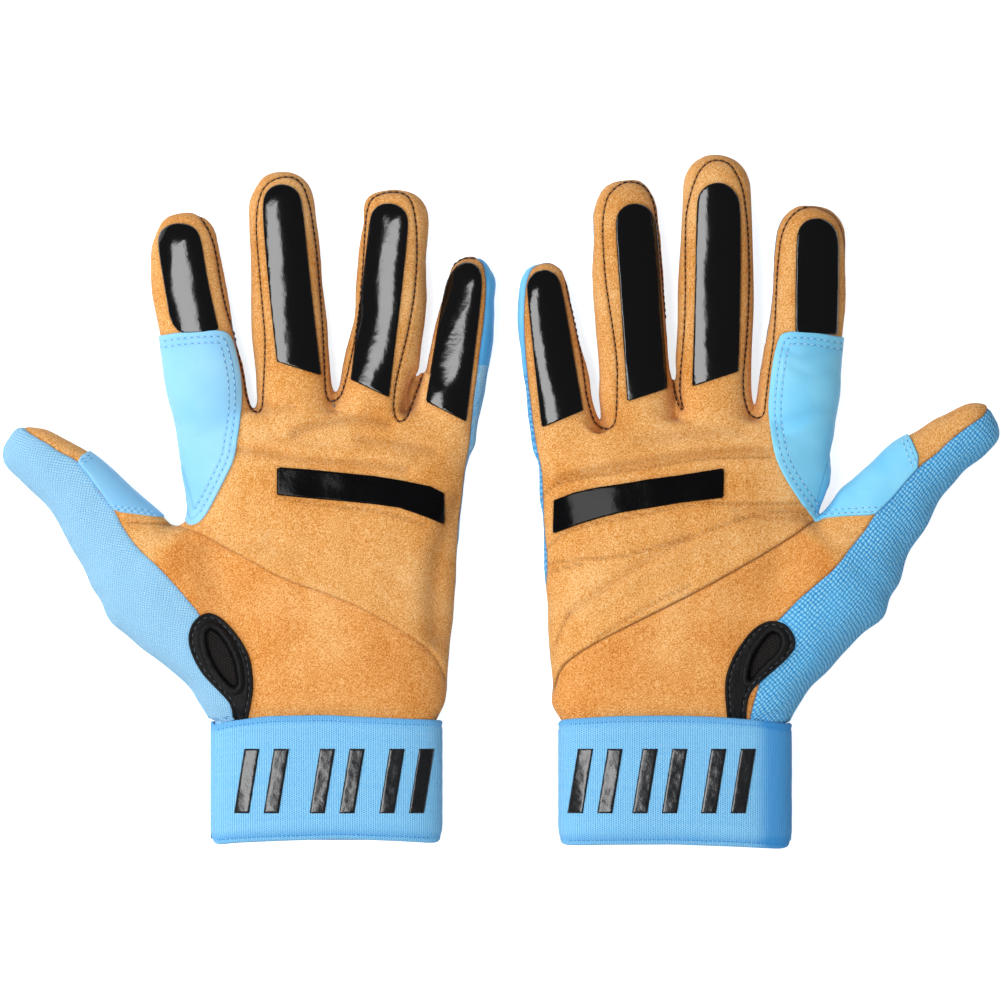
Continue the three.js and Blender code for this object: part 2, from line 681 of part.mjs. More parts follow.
function addHandTrim(group, hand, fingers) {
  const { side } = hand;
  const place = (share) => palmPoint(fingers, share);
  const bar = shapeOf([...gripBarTopShares, ...gripBarBottomShares].map(place));
  group.add(toMesh(`${side}_palm_grip_bar`, handOverlay(fingers, bar), gripBlack));

  const { index } = fingers;
  const set = -clearance;
  const edge = patchEdgeShares.map(place);
  const far = palmPoint(fingers, patchEdgeShares.at(-1))[0];
  const patch = shapeOf([onRootLine(index, patchRootShare * index.rootWidth / 2, set), ...edge,
    [far, index.rootY - overrun], onRootLine(index, -index.rootWidth / 2 - overrun, set)]
    .toReversed());
  group.add(toMesh(`${side}_index_patch_palm`, handOverlay(fingers, patch), leatherBlue));

  const ring = handOverlay(fingers, keyholeOuter(hand, fingers))
    .subtract(prism(keyholeInner(hand, fingers, 0), 0, 2 * strap.width));
  group.add(toMesh(`${side}_keyhole_binding`, ring, bindingBlack));
  const plate = handSolid(fingers, -clearance, strap.width)
    .subtract(handSolid(fingers, -skinWall, strap.width - overrun))
    .intersect(prism(keyholeInner(hand, fingers, clearance), strap.halfDepth, 2 * strap.width));
  group.add(toMesh(`${side}_keyhole_gusset`, plate, meshBlack));
}

// The wrist strap and its hook and loop closure

function ringShape(halfWidth, halfDepth, height) {
  const points = section(new THREE.Vector3(0, 0, height), new THREE.Vector3(1, 0, 0),
    halfWidth, halfDepth, strap.exponent, palmSides);
  return shapeOf(points.map((point) => [point.x, point.z]));
}

function strapSolid() {
  const outer = crossBlock(ringShape(strap.halfWidth, strap.halfDepth, strap.centreHeight),
    0, strap.width);
  const inner = crossBlock(ringShape(strap.halfWidth - strap.wall, strap.halfDepth - strap.wall,
    strap.centreHeight), -overrun, strap.width + overrun);
  const far = 2 * strap.halfWidth;
  const end = closure.axisHeight + closure.wall / 2 + clearance;
  const opening = crossBlock(shapeOf([[-far, -far], [strap.backEnd, -far],
    [strap.backEnd, strap.centreHeight - overrun], [-strap.halfWidth / 2, end], [-far, end]]),
  -overrun, strap.width + overrun);
  return outer.subtract(inner).subtract(opening);
}

function tabSolid() {
  const outer = crossBlock(ringShape(strap.halfWidth, closure.axisHeight, closure.axisHeight),
    0, strap.width);
  const inner = crossBlock(ringShape(strap.halfWidth - closure.wall,
    closure.axisHeight - closure.wall, closure.axisHeight), -overrun, strap.width + overrun);
  const far = 2 * strap.halfWidth;
  const kept = crossBlock(shapeOf([[-far, -far], [closure.endReach, -far],
    [closure.endReach, closure.axisHeight], [-far, closure.axisHeight]]),
  -overrun, strap.width + overrun);
  const fold = new THREE.CylinderGeometry(closure.wall / 2, closure.wall / 2, strap.width,
    fingerSides);
  fold.translate(-strap.halfWidth + closure.wall / 2, strap.width / 2, closure.axisHeight);
  return outer.subtract(inner).intersect(kept).add(toSolid(fold));
}

function padSolid(middleX, low) {
  const halfLength = closure.padLength / 2;
  const halfWidth = closure.padWidth / 2;
  const corner = closure.padCorner;
  const shape = new THREE.Shape();
  shape.absarc(halfLength - corner, halfWidth - corner, corner, 0, Math.PI / 2, false);
  shape.absarc(corner - halfLength, halfWidth - corner, corner, Math.PI / 2, Math.PI, false);
  shape.absarc(corner - halfLength, corner - halfWidth, corner, Math.PI, 1.5 * Math.PI, false);
  shape.absarc(halfLength - corner, corner - halfWidth, corner, 1.5 * Math.PI, 2 * Math.PI, false);
  shape.closePath();
  const pad = prism(shape, low, low + closure.padThickness);
  return pad.translate([middleX, strap.width / 2, 0]);
}

function addStrap(group, hand) {
  group.add(toMesh(`${hand.side}_wrist_strap`, strapSolid(), elasticBlue));
  const strapBack = strap.centreHeight - strap.halfDepth;
  const loopLow = strapBack - clearance - closure.padThickness;
  group.add(toMesh(`${hand.side}_loop_pad`, padSolid(0, loopLow), hookBlack));
}

function addClosure(group, hand) {
  group.add(toMesh(`${hand.side}_closure_tab`, tabSolid(), elasticBlue));
  const strapBack = strap.centreHeight - strap.halfDepth;
  const hookLow = strapBack - 2 * clearance - 2 * closure.padThickness;
  group.add(toMesh(`${hand.side}_hook_pad`, padSolid(0, hookLow), hookBlack));
}

// One glove

function buildGlove(hand) {
  const glove = new THREE.Group();
  const fingers = placeFingers(hand);
  addHand(glove, hand, fingers);
  addHandTrim(glove, hand, fingers);
  addStrap(glove, hand);
  const tab = new THREE.Group();
  addClosure(tab, hand);
  glove.add(tab);
  for (const [name, finger] of Object.entries(fingers)) {
    const group = hingeGroup(finger);
    const full = `${hand.side}_${name}`;
    if (name === 'thumb') addThumb(group, full, finger);
    else addFinger(group, full, finger, hand.gripShares[name]);
    if (name === 'index') addIndexPatch(group, `${full}_patch`, finger);
    glove.add(group);
  }
  return glove;
}

// The pair, side by side, thumbs outwards

const left = buildGlove(leftHand);
const right = buildGlove(rightHand);
const reachOf = (glove) => new THREE.Box3().setFromObject(glove, true).max.x;
left.position.x = -reachOf(left);
right.position.set(reachOf(right) + pairGap, -rightGloveDrop, 0);
right.scale.x = -1;

const pair = new THREE.Group();
pair.add(left, right);
pair.updateMatrixWorld(true);
const box = new THREE.Box3().setFromObject(pair, true);
pair.position.set(-(box.min.x + box.max.x) / 2, -(box.min.y + box.max.y) / 2, -box.min.z);

export default pair;
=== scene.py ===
# A pair of batting gloves lying palm up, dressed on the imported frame.
# Each glove is shaped in its own millimetres: x runs towards the little finger, y from
# the strap to the fingertips, z up. The right glove is mirrored when its meshes are made.
import math

import bpy
import numpy as np
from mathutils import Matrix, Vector
from mathutils.bvhtree import BVHTree


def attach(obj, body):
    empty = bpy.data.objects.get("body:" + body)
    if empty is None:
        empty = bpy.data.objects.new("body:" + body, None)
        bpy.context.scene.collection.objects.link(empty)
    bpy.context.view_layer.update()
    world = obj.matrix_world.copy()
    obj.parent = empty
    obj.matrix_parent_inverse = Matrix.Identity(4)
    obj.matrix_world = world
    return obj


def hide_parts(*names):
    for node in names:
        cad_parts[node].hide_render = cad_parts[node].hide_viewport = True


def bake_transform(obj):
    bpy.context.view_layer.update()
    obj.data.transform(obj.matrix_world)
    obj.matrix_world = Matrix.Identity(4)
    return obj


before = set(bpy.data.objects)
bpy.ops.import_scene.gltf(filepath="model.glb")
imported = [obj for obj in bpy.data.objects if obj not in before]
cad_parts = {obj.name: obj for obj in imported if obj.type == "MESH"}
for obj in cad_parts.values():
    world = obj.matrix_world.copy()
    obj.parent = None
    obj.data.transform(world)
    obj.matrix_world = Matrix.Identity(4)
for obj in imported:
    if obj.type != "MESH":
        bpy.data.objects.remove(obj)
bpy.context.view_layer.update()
VOXEL = 1.0
CHUNK = 20000

# Sizes that both gloves share

FINGERS = ("index", "middle", "ring", "little")
MM = 0.001
PALM_LENGTH = 151.0
STRAP = dict(width=43.0, half_width=40.0, half_depth=12.0, height=16.0, wall=1.6, power=3.2,
             back_end=-20.0)
TAB = dict(height=14.0, wall=1.5, reach=18.0)
HINGE_RISE = 6.0
FINGER_BLEND = (-3.0, 15.0)
THUMB_BLEND = (-4.0, 16.0)
PIXEL = 0.345
PHOTO_CENTRE = (499.95, 501.6)
FLOOR_GAP = 0.12
SKIN_START = 36.0
FOLD_LIFT = 1.6
LITTLE_PATCH_START = 20.5
BACK_EDGE = 1.6

FINGER_DEPTHS = dict(root_depth=9.0, tip_depth=7.8, root_height=11.0, tip_height=9.0, bow=0.0)
LITTLE_DEPTHS = dict(root_depth=8.6, tip_depth=7.0, root_height=10.8, tip_height=8.6, bow=0.0)
THUMB_DEPTHS = dict(root_depth=11.0, tip_depth=8.2, root_height=13.0, tip_height=10.0, bow=3.6)


class Finger:
    def __init__(self, name, share, lean, reach, root, tip, depths):
        self.name, self.reach, self.half, self.tip = name, reach, root / 2, tip / 2
        angle = math.radians(lean)
        self.along = np.array([math.sin(angle), math.cos(angle)])
        self.across = np.array([math.cos(angle), -math.sin(angle)])
        self.root = np.array([0.0, share * PALM_LENGTH])
        self.start, self.end = THUMB_BLEND if name == "thumb" else FINGER_BLEND
        self.length = reach - HINGE_RISE
        self.depths, self.roll = depths, 0.0

    def local(self, points):
        offset = points[:, :2] - self.root
        return offset @ self.across, offset @ self.along

    def height(self, beyond):
        d = self.depths
        slope = (d["tip_height"] - d["root_height"]) / self.length
        return d["root_height"] + slope * np.clip(beyond - HINGE_RISE, 0, None)

    def at(self, across, beyond):
        return self.root + self.across * across + self.along * beyond


class Hand:
    def __init__(self, side, origin, middle, gaps, rolls, specs):
        self.side, self.origin = side, np.array(origin)
        self.sign = 1 if side == "left" else -1
        self.fingers = {}
        for name, spec in specs.items():
            depths = {"little": LITTLE_DEPTHS, "thumb": THUMB_DEPTHS}.get(name, FINGER_DEPTHS)
            self.fingers[name] = Finger(name, *spec[:5], depths)
        f = self.fingers
        f["middle"].root[0] = middle
        f["index"].root[0] = middle - f["index"].half - f["middle"].half - gaps[0]
        f["ring"].root[0] = middle + f["middle"].half + f["ring"].half + gaps[1]
        f["little"].root[0] = f["ring"].root[0] + f["ring"].half + f["little"].half + gaps[2]
        self.left = f["index"].root[0] - f["index"].half
        self.right = f["little"].root[0] + f["little"].half
        self.width = self.right - self.left
        f["thumb"].root[0] = specs["thumb"][5] * self.width
        for name, roll in rolls.items():
            f[name].roll = math.radians(roll)

    def plan(self, points):
        p = np.array(points, float)
        x = (p[:, 0] - PHOTO_CENTRE[0]) * PIXEL
        y = (PHOTO_CENTRE[1] - p[:, 1]) * PIXEL
        return np.column_stack([(x - self.origin[0]) * self.sign, y - self.origin[1]])

    def curve(self, line, rounds=2):
        """A line of the photograph in the plan, with its corners cut."""
        return chaikin(self.plan(line), False, rounds)

    def outline(self, line, rounds=1):
        return chaikin(self.plan(line), True, rounds)

    def world(self, v):
        out = v * [self.sign, 1, 1]
        out[:, :2] += self.origin
        return out / 1000


LEFT = Hand("left", (-60.2237, -118.4321), -10.4, (2.9, 1.7, 1.0),
            dict(index=5, ring=13, little=18), {
    "index": (1.0, -8.8, 67.8, 27.5, 22.8),
    "middle": (1.007, -4.0, 80.4, 25.8, 22.8),
    "ring": (1.003, 7.3, 75.1, 24.8, 22.4),
    "little": (0.974, 10.8, 57.0, 23.5, 17.6),
    "thumb": (0.641, -45.0, 61.5, 35.4, 20.0, -0.6073),
})
RIGHT = Hand("right", (59.8749, -119.1321), -14.2, (1.7, 1.4, 1.3),
             dict(index=16, middle=1, ring=16, little=9), {
    "index": (0.993, -5.0, 71.8, 26.7, 23.1),
    "middle": (1.007, -0.4, 86.4, 25.0, 23.1),
    "ring": (0.993, 3.9, 80.0, 25.0, 22.6),
    "little": (0.96, 8.0, 57.0, 23.5, 18.0),
    "thumb": (0.654, -42.6, 70.0, 36.0, 20.5, -0.5851),
})

# Outlines read from the photograph, in its pixels. A fold is its height, its width and its
# line. A push is a place, a move right and down, a reach and, in some, how many times
# taller than wide it is. The edges of the cuff are in millimetres.


def pixels(text):
    """Points, and moves with their sizes, written as numbers between commas."""
    return [tuple(float(n) for n in item.split(",")) for item in text.split()]


LEFT_LINES = dict(
    front=pixels("""
        240,745 236,715 220,660 205,625 199,612 190,602 178,588 160,568 145,555 133,542 122,525
        115,511 108,502 100,492 92,478 84,468 76,459 60,452 48,443 38,438 24,428 15,410 140,400
        140,215 150,205"""),
    seam_run=pixels("""
        185,203 199,214 202.5,219 211.5,234 217,254 221.5,285 228,314 234,330 238,350 244,375
        247,397 252,410 259.5,412.6 262,406 263,383.5 264.4,361 265,339 263,316.5 261,294 259,272
        257,249 255.5,227 257,205 262,189 271,180 284,176 295,177 304,185 310.5,205 314,227
        317,249 319,272 321,294 322.6,316.5 324,339 324.8,361 325.5,379 326.6,395 330.6,402.5
        340,397 344.5,383.5 350,361 354.5,339 358,316.5 360,294 362,272 363.5,249 364.6,227
        366.4,209 371,198 382.5,192.4 396,191 407,194 412.6,202.5 415,213.6 417,227 417.8,249
        417,272 415,294 411.5,316.5 407,339 401.5,361 397,379 394,401.4 394.8,415 399,422.6
        406,419 410.4,408 415,395 420.5,379 427,357 431.6,334 436,316 440.6,298.6 445,280.7
        450.6,267 458.5,259.5 467.4,257 478.6,258"""),
    front_end=pixels("""
        485,265 487,280.7 486.4,303 484,325.4 480.8,347.8 478.6,370 475,394.7 473,417 472,430
        470,450 466,470 463,500 460,520 458,560 456,620 452,680 449,720 449,760"""),
    grips=dict(
        index=pixels("""
            202,333 173,334 164.5,285 158,245 160,233 167,226 178,223 190,225 198,231 202,243
            206,270 212,300 219,330"""),
        middle=pixels("""
            277,362 270,300 262.5,215 264,196 271,187 282,184 293,187 300,195 303,210 311,290
            321,376"""),
        ring=pixels("""
            351,380 361,300 369.5,225 372,212 379,205 389,203 400,206 407,214 409,226 400,310
            389,398"""),
        little=pixels("""
            426,402 436,340 445,290 450,275 459,264 469,262 478,266 482.5,278 481,300 474,360
            466,422""")),
    bar=pixels("""
        277,467 310,469.5 345,473 375,476 400,480 430,486 444,493 444,525 432,519.5 420,515
        400,508 375,504.5 350,502 310,498.5 277,495"""),
    patch=pixels("""
        140,337.5 160,335.5 182,332 205,330.5 222,330 230,335 234,345 240,370 242,395 241,420
        238,440 235,460 225,480 215,500 205,518 196,526 187,526 184,515 178,490 165,450 150,400
        140,360"""),
    patch_edge=(0, 15),
    seam=pixels("""
        150,523 172,524 195,530 220,545 250,560 280,578 340,598 385,620 425,645 440,662 446,680
        455,700"""),
    thumb_patch=pixels("""
        75.8,459.5 84,469 92,479 100,491 108,502 116,512 138,515 159.5,518.5 168,517 158,497
        140,478 116,458 96,447"""),
    thumb_rows=[
        pixels("114,509 138,512 158,515.5"),
        pixels("111,505.5 137,508.6 155,512"),
        pixels("78.5,461.5 92,453.5"),
        pixels("81.5,464.5 95,456")],
    hole=pixels("""
        206,612 196,618 190,628 188,640 192,655 201,672 213,685 224,696 232,706 233,722 233,744
        248,744 248,722 252,703 254.6,687 252.6,664 248,650 237,633 223,618 214,613"""),
    eye=pixels("""
        209.5,629 215,631 223,640 229,650 233.6,661 236,673 237,686 233,686 223,676 213,661
        207.7,645 206.5,634"""),
    valley=pixels("205,535 214,580 222,640"),
    quilts=[
        pixels("282,497.5 307,502.7 343.6,506.8 380,511 398,515.8 425,525")],
    folds=[
        (-0.6, 1.7, pixels("238,450 271,453.6 292.7,459 325.5,461.8 361.8,462.7 407,470")),
        (0.4, 2.6, pixels("240,443 272,446 295,450 326,453 362,454 407,461")),
        (-0.65, 2.1, pixels("296,433.6 311,426 329,421 362,417 389,423")),
        (0.45, 3.0, pixels("290,425 308,417 329,411 362,407")),
        (-0.45, 1.8, pixels("262,404 276,408 293,407")),
        (-0.45, 2.0, pixels("362,439 390,441 416,446 434.5,452")),
        (0.5, 2.2, pixels("200,537 235,531 262,537")),
        (-0.2, 2.6, pixels("205,548 250,546 300,556")),
        (0.35, 1.6, pixels("205,520 225,516 242,519")),
        (-0.7, 4.0, pixels("458,500 440,540 432,590 436,640")),
        (-1.0, 2.2, pixels("417,374 412,390 407,408")),
        (0.25, 4.0, pixels("270,508 345,514 400,521 436,533"))],
    pushes=pixels("""
        20,433,-2.4,-3.2,12 45,505,2.6,-2.2,22 55,530,2.2,-1.4,25 83,573,4.0,-2.6,26
        113,622,-1.8,1.6,15 155,667,1.8,-1.8,25 178,682,1.8,-1.4,16 192,690,2.0,-1.4,12
        130,485,-1.6,2.4,26 178,428,5.4,0,32 184,495,2.4,0,20 157,290,-4.6,0,26,1.4
        156,232,2.6,1.4,13 206,230,1.0,0,12 238,365,1.8,0,20 253,405,0,-5.0,9 232,340,-0.4,0,25
        254,330,-2.4,0,26,1.6 318,250,1.2,0,25 256,188,2.8,1.4,14 371,202,-4.6,-3.0,16
        364,245,-1.6,0,20 353,318,4.2,0,26 422,310,7.2,0,32 420,392,2.0,-17.0,14 418,368,3.0,0,16
        421,340,4.4,0,18,2.2 440,318,-7.5,0,26 434,365,-3.0,0,15 438,348,-4.0,0,14,1.5
        456,272,-1.2,-1.0,10 490,345,2.4,0,24 492,268,-4.2,1.8,13 496,295,-1.8,0,14
        481,422,-2.6,0,22 450,560,-1.0,0,40 449,650,-1.4,0,40"""),
    cuff_fit=(0.4, 1.0),
    hinge=(0.0, 0.3),
    cuff_top=[(-40.5, -2.3), (-36, -0.9), (-32, 0.1), (-20, 1.6), (0, 2.0), (9, 1.5),
              (25, 0.8), (40, 0.2)],
    cuff_low=[(-40, -0.2), (-32, 0.8), (-17, 1.5), (3, 2.2), (9, 2.1), (25, 1.5), (40, 0.6)],
    marks=[262, 337.5, 407],
    # Where the strap's painted shade begins on the thumb side, how far it grows, and how dark it
    # gets.
    deep=(36.5, 5.0, 0.2),
)
RIGHT_LINES = dict(
    front=pixels("""
        746,745 750,715 760,680 768,640 775,622 780,618 797,600 815,585 835,568 850,548 865,530
        874,515 880,508 890,498 905,480 922,464 935,455 950,440 970,425 988,413 990,395 860,395
        848,300 846,240 838,218 826,209.7 815,206"""),
    seam_run=pixels("""
        806.9,206.4 800.2,208.6 792.4,214 785.7,223 781.2,234.3 779,245.4 776.7,270 775.6,290
        774.5,319 772.3,345.9 768.9,368 766.7,386 764.5,404 763.3,415 756.7,418.4 750,414
        746.6,406 743.9,392.8 743.3,379.4 745.5,357 747.7,334.7 748.8,312.4 750,279 749.3,245.4
        747.7,220.9 746.2,207.5 744.4,194 741,181.8 735.4,170.7 729.9,163.3 723,160.2 713,159.5
        706.4,162.9 699.7,169.6 695.3,178.5 691.9,187.4 688.6,198.6 686.3,209.7 685.2,218.7
        684.5,256.6 685,290 684,323.6 681.9,350 679.6,375 679,395 683.7,413 676.3,399.5 674,381.6
        670.7,363.8 668.5,341.4 666.3,319 664,292 662.2,270 660.7,252 658.4,234.3 656.9,218.7
        655,205 650.6,193 644,185 635,181.4 623.8,181.4 615,187.4 607,196 602.6,214 602,234.3
        603.3,256.6 604.9,279 608,301 611.6,323.6 614.9,345.9 617,368 616.7,390.5 616,412.9
        613.8,425 607,429.6 599.3,426.3 593.7,419.6 590.4,408.4 587,395 584.8,377 582.5,359.3
        579.2,341.4 574.7,319 570.3,301.3 566.9,285.6 566.3,276.7"""),
    front_end=pixels("""
        562.5,267.8 554.6,262.9 545.7,261.7 539,262.9 532.3,266.7 529,272 525.2,283.4 523.4,301
        523,323.6 523.8,346 525.6,368 527.9,390.5 531.2,419.6 534.1,440 537,455 540.5,470 542,500
        543,530 546,556 546,575 542,600 543,650 546,700 550,745"""),
    grips=dict(
        index=pixels("""
            837,335 838,285 838.5,240 834,227 825,220 815,218 805,221 798,229 796,242 795,290
            795,333"""),
        middle=pixels("""
            738,372 740.5,290 740.5,205 736,193 728,185 718,182 707,185 699,193 696.5,206 695,290
            692,387"""),
        ring=pixels("""
            667,389 661,300 656.5,226 652,212 644,205 633,203 622,207 616,216 615,229 621,310
            627,402"""),
        little=pixels("""
            583,411 571,340 561.5,286 557,276 550,271 543,270 534,273 528,281 527,291 533,350
            542,428""")),
    bar=pixels("""
        554,500 575,492 598,487 620,484 650,479 680,475 724,468 723,498 680,503 650,508 620,513
        600,518 580,524 553,534"""),
    patch=pixels("""
        860,337.5 841,337 820,333 795,331 782,333 778,340 773,360 770,385 768,410 770,430 774,455
        782.5,475 796,496 804,507 811,517 814,521 820,521 825.5,512 832,490 845,440 860,380"""),
    patch_edge=(0, 16),
    seam=pixels("""
        830,512 815,519 790,538 750,562 700,590 640,620 600,640 575,655 560,668 553,690
        545,705"""),
    thumb_patch=pixels("""
        908.6,432.5 921.5,463.6 906.5,480.5 891.5,498.5 881,508.5 874.5,515.5 848.4,516 824.3,518
        816,519.5 822,506 838,485 860,462 880,446 900,430"""),
    thumb_rows=[
        pixels("877,511.5 848,512.5 824,514.5"),
        pixels("881,507 850,508.5 828,510"),
        pixels("905.5,436 916.5,464.5"),
        pixels("901.8,439 912.5,468")],
    hole=pixels("""
        727,744 727,722 724.5,700 724,680 728,666 735,651 749.5,631 762,622 773,619.6 786,623.6
        794,634.5 796,645.5 789.5,656 779,666 766,677 753,688 747,700 746,722 746,744"""),
    eye=pixels("""
        748,683 749,670 752,659 759.5,646 768,635 775,632.5 780.5,638 778.6,649 769.5,658
        757,669.5"""),
    valley=pixels("790,545 776,600 765,640"),
    quilts=[
        pixels("""
            540.5,498 553,484.5 576.8,478 607.7,473.6 636.8,469 662,464.5 689.5,460 716.8,457
            744,457 771,457"""),
        pixels("""
            546,549 557,537 575,528.5 600,522.5 650,512.5 684,505 716.8,503 753,502.7 786,503.6
            804,504.5"""),
        pixels("""
            549.5,563.6 571,559.6 589.5,559 622,556.4 650,549 676.8,541.8 698.6,534.5 716.8,527
            738.6,520 753,514.5 771,512.7 789.5,512.7 807.7,514.5"""),
        pixels("549.5,571.8 571,566 582,563.6"),
        pixels("555,643.6 562,623.6 570,612"),
        pixels("598.6,637 635,613.5 662,598 690,585")],
    folds=[
        (-0.65, 1.7, pixels("""
            556,481 567.7,475 607.7,468 662,458 698.6,452.7 726,451 753,450 771,451""")),
        (0.35, 3.0, pixels("556,473 607,460 662,450 698,445 726,443 771,442")),
        (-0.4, 2.2, pixels("566,614 590,598 620,577 655,555 690,536")),
        (0.3, 2.4, pixels("566,622 592,606 623,585 658,563 692,545")),
        (-0.4, 1.2, pixels("735,508 770,508 806,511")),
        (-0.45, 1.2, pixels("740,518.5 775,517.5 808,519")),
        (0.3, 1.2, pixels("735,503 770,504 806,507")),
        (-0.3, 3.0, pixels("640,440 690,432 740,430")),
        (-0.35, 1.7, pixels("786,350 806,358 838,350")),
        (-0.3, 1.9, pixels("792,366 815,378 838,368")),
        (-0.4, 2.4, pixels("783,425 806,414 834,408")),
        (0.3, 2.4, pixels("783,437 806,427 834,420")),
        (0.25, 4.0, pixels("556,545 600,530 650,520 724,510"))],
    pushes=pixels("""
        519,285,1.6,0,20 521,325,-3.6,0,32 524,368,-1.4,0,16 592,398,-2.4,0,14 597,416,4.0,16.0,12
        578,345,-1.6,0,24 550,263,0,-1.6,15 594,290,-3.2,0,42 597,200,2.0,0,15 604,240,1.2,0,14
        640,183,0.5,-2.6,18 664,285,3.8,0,26,2.4 671,352,2.4,0,22 684,290,-5.2,0,24,2.2
        681,356,-5.0,0,16,1.6 751,262,3.0,0,30,2.4 676,378,0,-3.8,10 755,403,0,7.0,10
        713,158,0,-1.4,16 769,310,1.6,0,34 778,248,-2.2,0,18,1.8 843,300,6.2,0,30,2.6
        824,482,9.0,0,24 838,392,2.0,0,20 838,492,-3.2,-3.0,15 870,460,1.6,2.4,20
        915,425,2.4,3.8,22 945,408,1.8,4.0,18 956,405,0.6,2.4,13 987,404,2.6,-3.4,10
        996,437,2.8,0.4,14 984,457,1.8,1.2,12 962,472,-1.8,-1.8,13 940,499,-4.0,-3.0,27
        908,552,-5.6,-3.0,27 868,635,-3.4,-2.8,18 850,654,-3.6,-3.6,24 815,690,-1.4,-1.4,16
        541,500,-2.4,0,26 547,565,-2.8,0,32 552,645,-2.4,0,36 555,704,-4.0,0,14"""),
    cuff_fit=(-0.6, 1.0105),
    hinge=(1.0, 0.75),
    cuff_top=[(-40.5, -0.6), (-30, 0.8), (-15, 2.0), (0, 2.5), (20, 2.3), (40.3, 1.1)],
    cuff_low=[(-38, -0.6), (-20, 0.3), (0, 1.0), (20, 0.9), (38.5, 0.6)],
    marks=[595, 659.5, 728],
    # Where the strap's painted shade begins on the thumb side, how far it grows, and how dark it
    # gets.
    deep=(27.0, 7.0, 1.2),
)

# Plane geometry


def chaikin(points, closed, rounds=1):
    p = np.array(points, float)
    for _ in range(rounds):
        q = np.roll(p, -1, axis=0) if closed else p[1:]
        a = p if closed else p[:-1]
        cut = np.stack([0.75 * a + 0.25 * q, 0.25 * a + 0.75 * q], axis=1).reshape(-1, 2)
        p = cut if closed else np.vstack([p[:1], cut, p[-1:]])
    return p


def line_distance(points, line, closed=False):
    a = np.array(line, float)
    b = np.roll(a, -1, axis=0) if closed else a[1:]
    a = a if closed else a[:-1]
    d = b - a
    size = np.maximum((d * d).sum(1), 1e-9)
    out = np.empty(len(points))
    for low in range(0, len(points), CHUNK):
        p = points[low:low + CHUNK, None, :2] - a[None]
        t = np.clip((p * d).sum(2) / size, 0, 1)
        r = p - t[:, :, None] * d
        out[low:low + CHUNK] = np.sqrt((r * r).sum(2).min(1))
    return out


def inside(points, outline):
    a = np.array(outline, float)
    b = np.roll(a, -1, axis=0)
    out = np.zeros(len(points), bool)
    rise = np.where(np.abs(b[:, 1] - a[:, 1]) < 1e-9, 1e-9, b[:, 1] - a[:, 1])
    for low in range(0, len(points), CHUNK):
        x, y = points[low:low + CHUNK, 0, None], points[low:low + CHUNK, 1, None]
        spans = (a[:, 1] > y) != (b[:, 1] > y)
        cross = a[:, 0] + (y - a[:, 1]) * (b[:, 0] - a[:, 0]) / rise
        out[low:low + CHUNK] = (spans & (x < cross)).sum(1) % 2 == 1
    return out


def signed(points, outline, reach=6.0):
    """Distance to a closed outline, positive inside, and -reach far outside."""
    low, high = outline.min(0) - reach, outline.max(0) + reach
    near = np.all((points[:, :2] > low) & (points[:, :2] < high), axis=1)
    out = np.full(len(points), -reach)
    p = points[near]
    out[near] = line_distance(p, outline, True) * np.where(inside(p, outline), 1, -1)
    return out


def lengths(p):
    """How far along the line each of its points is."""
    return np.concatenate([[0], np.cumsum(np.linalg.norm(np.diff(p, axis=0), axis=1))])


def unit(v, least=1e-9):
    return v / np.maximum(np.linalg.norm(v, axis=-1, keepdims=True), least)


def resample(line, step):
    p = np.array(line, float)
    reach = lengths(p)
    at = np.linspace(0, reach[-1], max(2, int(round(reach[-1] / step)) + 1))
    return np.column_stack([np.interp(at, reach, p[:, k]) for k in range(p.shape[1])])


def shifted(line, distance):
    """The line moved to its left by a distance."""
    p = resample(line, 1.0)
    t = unit(np.gradient(p, axis=0))
    return p + distance * np.column_stack([-t[:, 1], t[:, 0]])


def smoothstep(x, low, high):
    t = np.clip((x - low) / (high - low), 0, 1)
    return t * t * (3 - 2 * t)


def bell(x, width):
    return np.exp(-(x / width) ** 2)


# Triangle sheets with values at their points


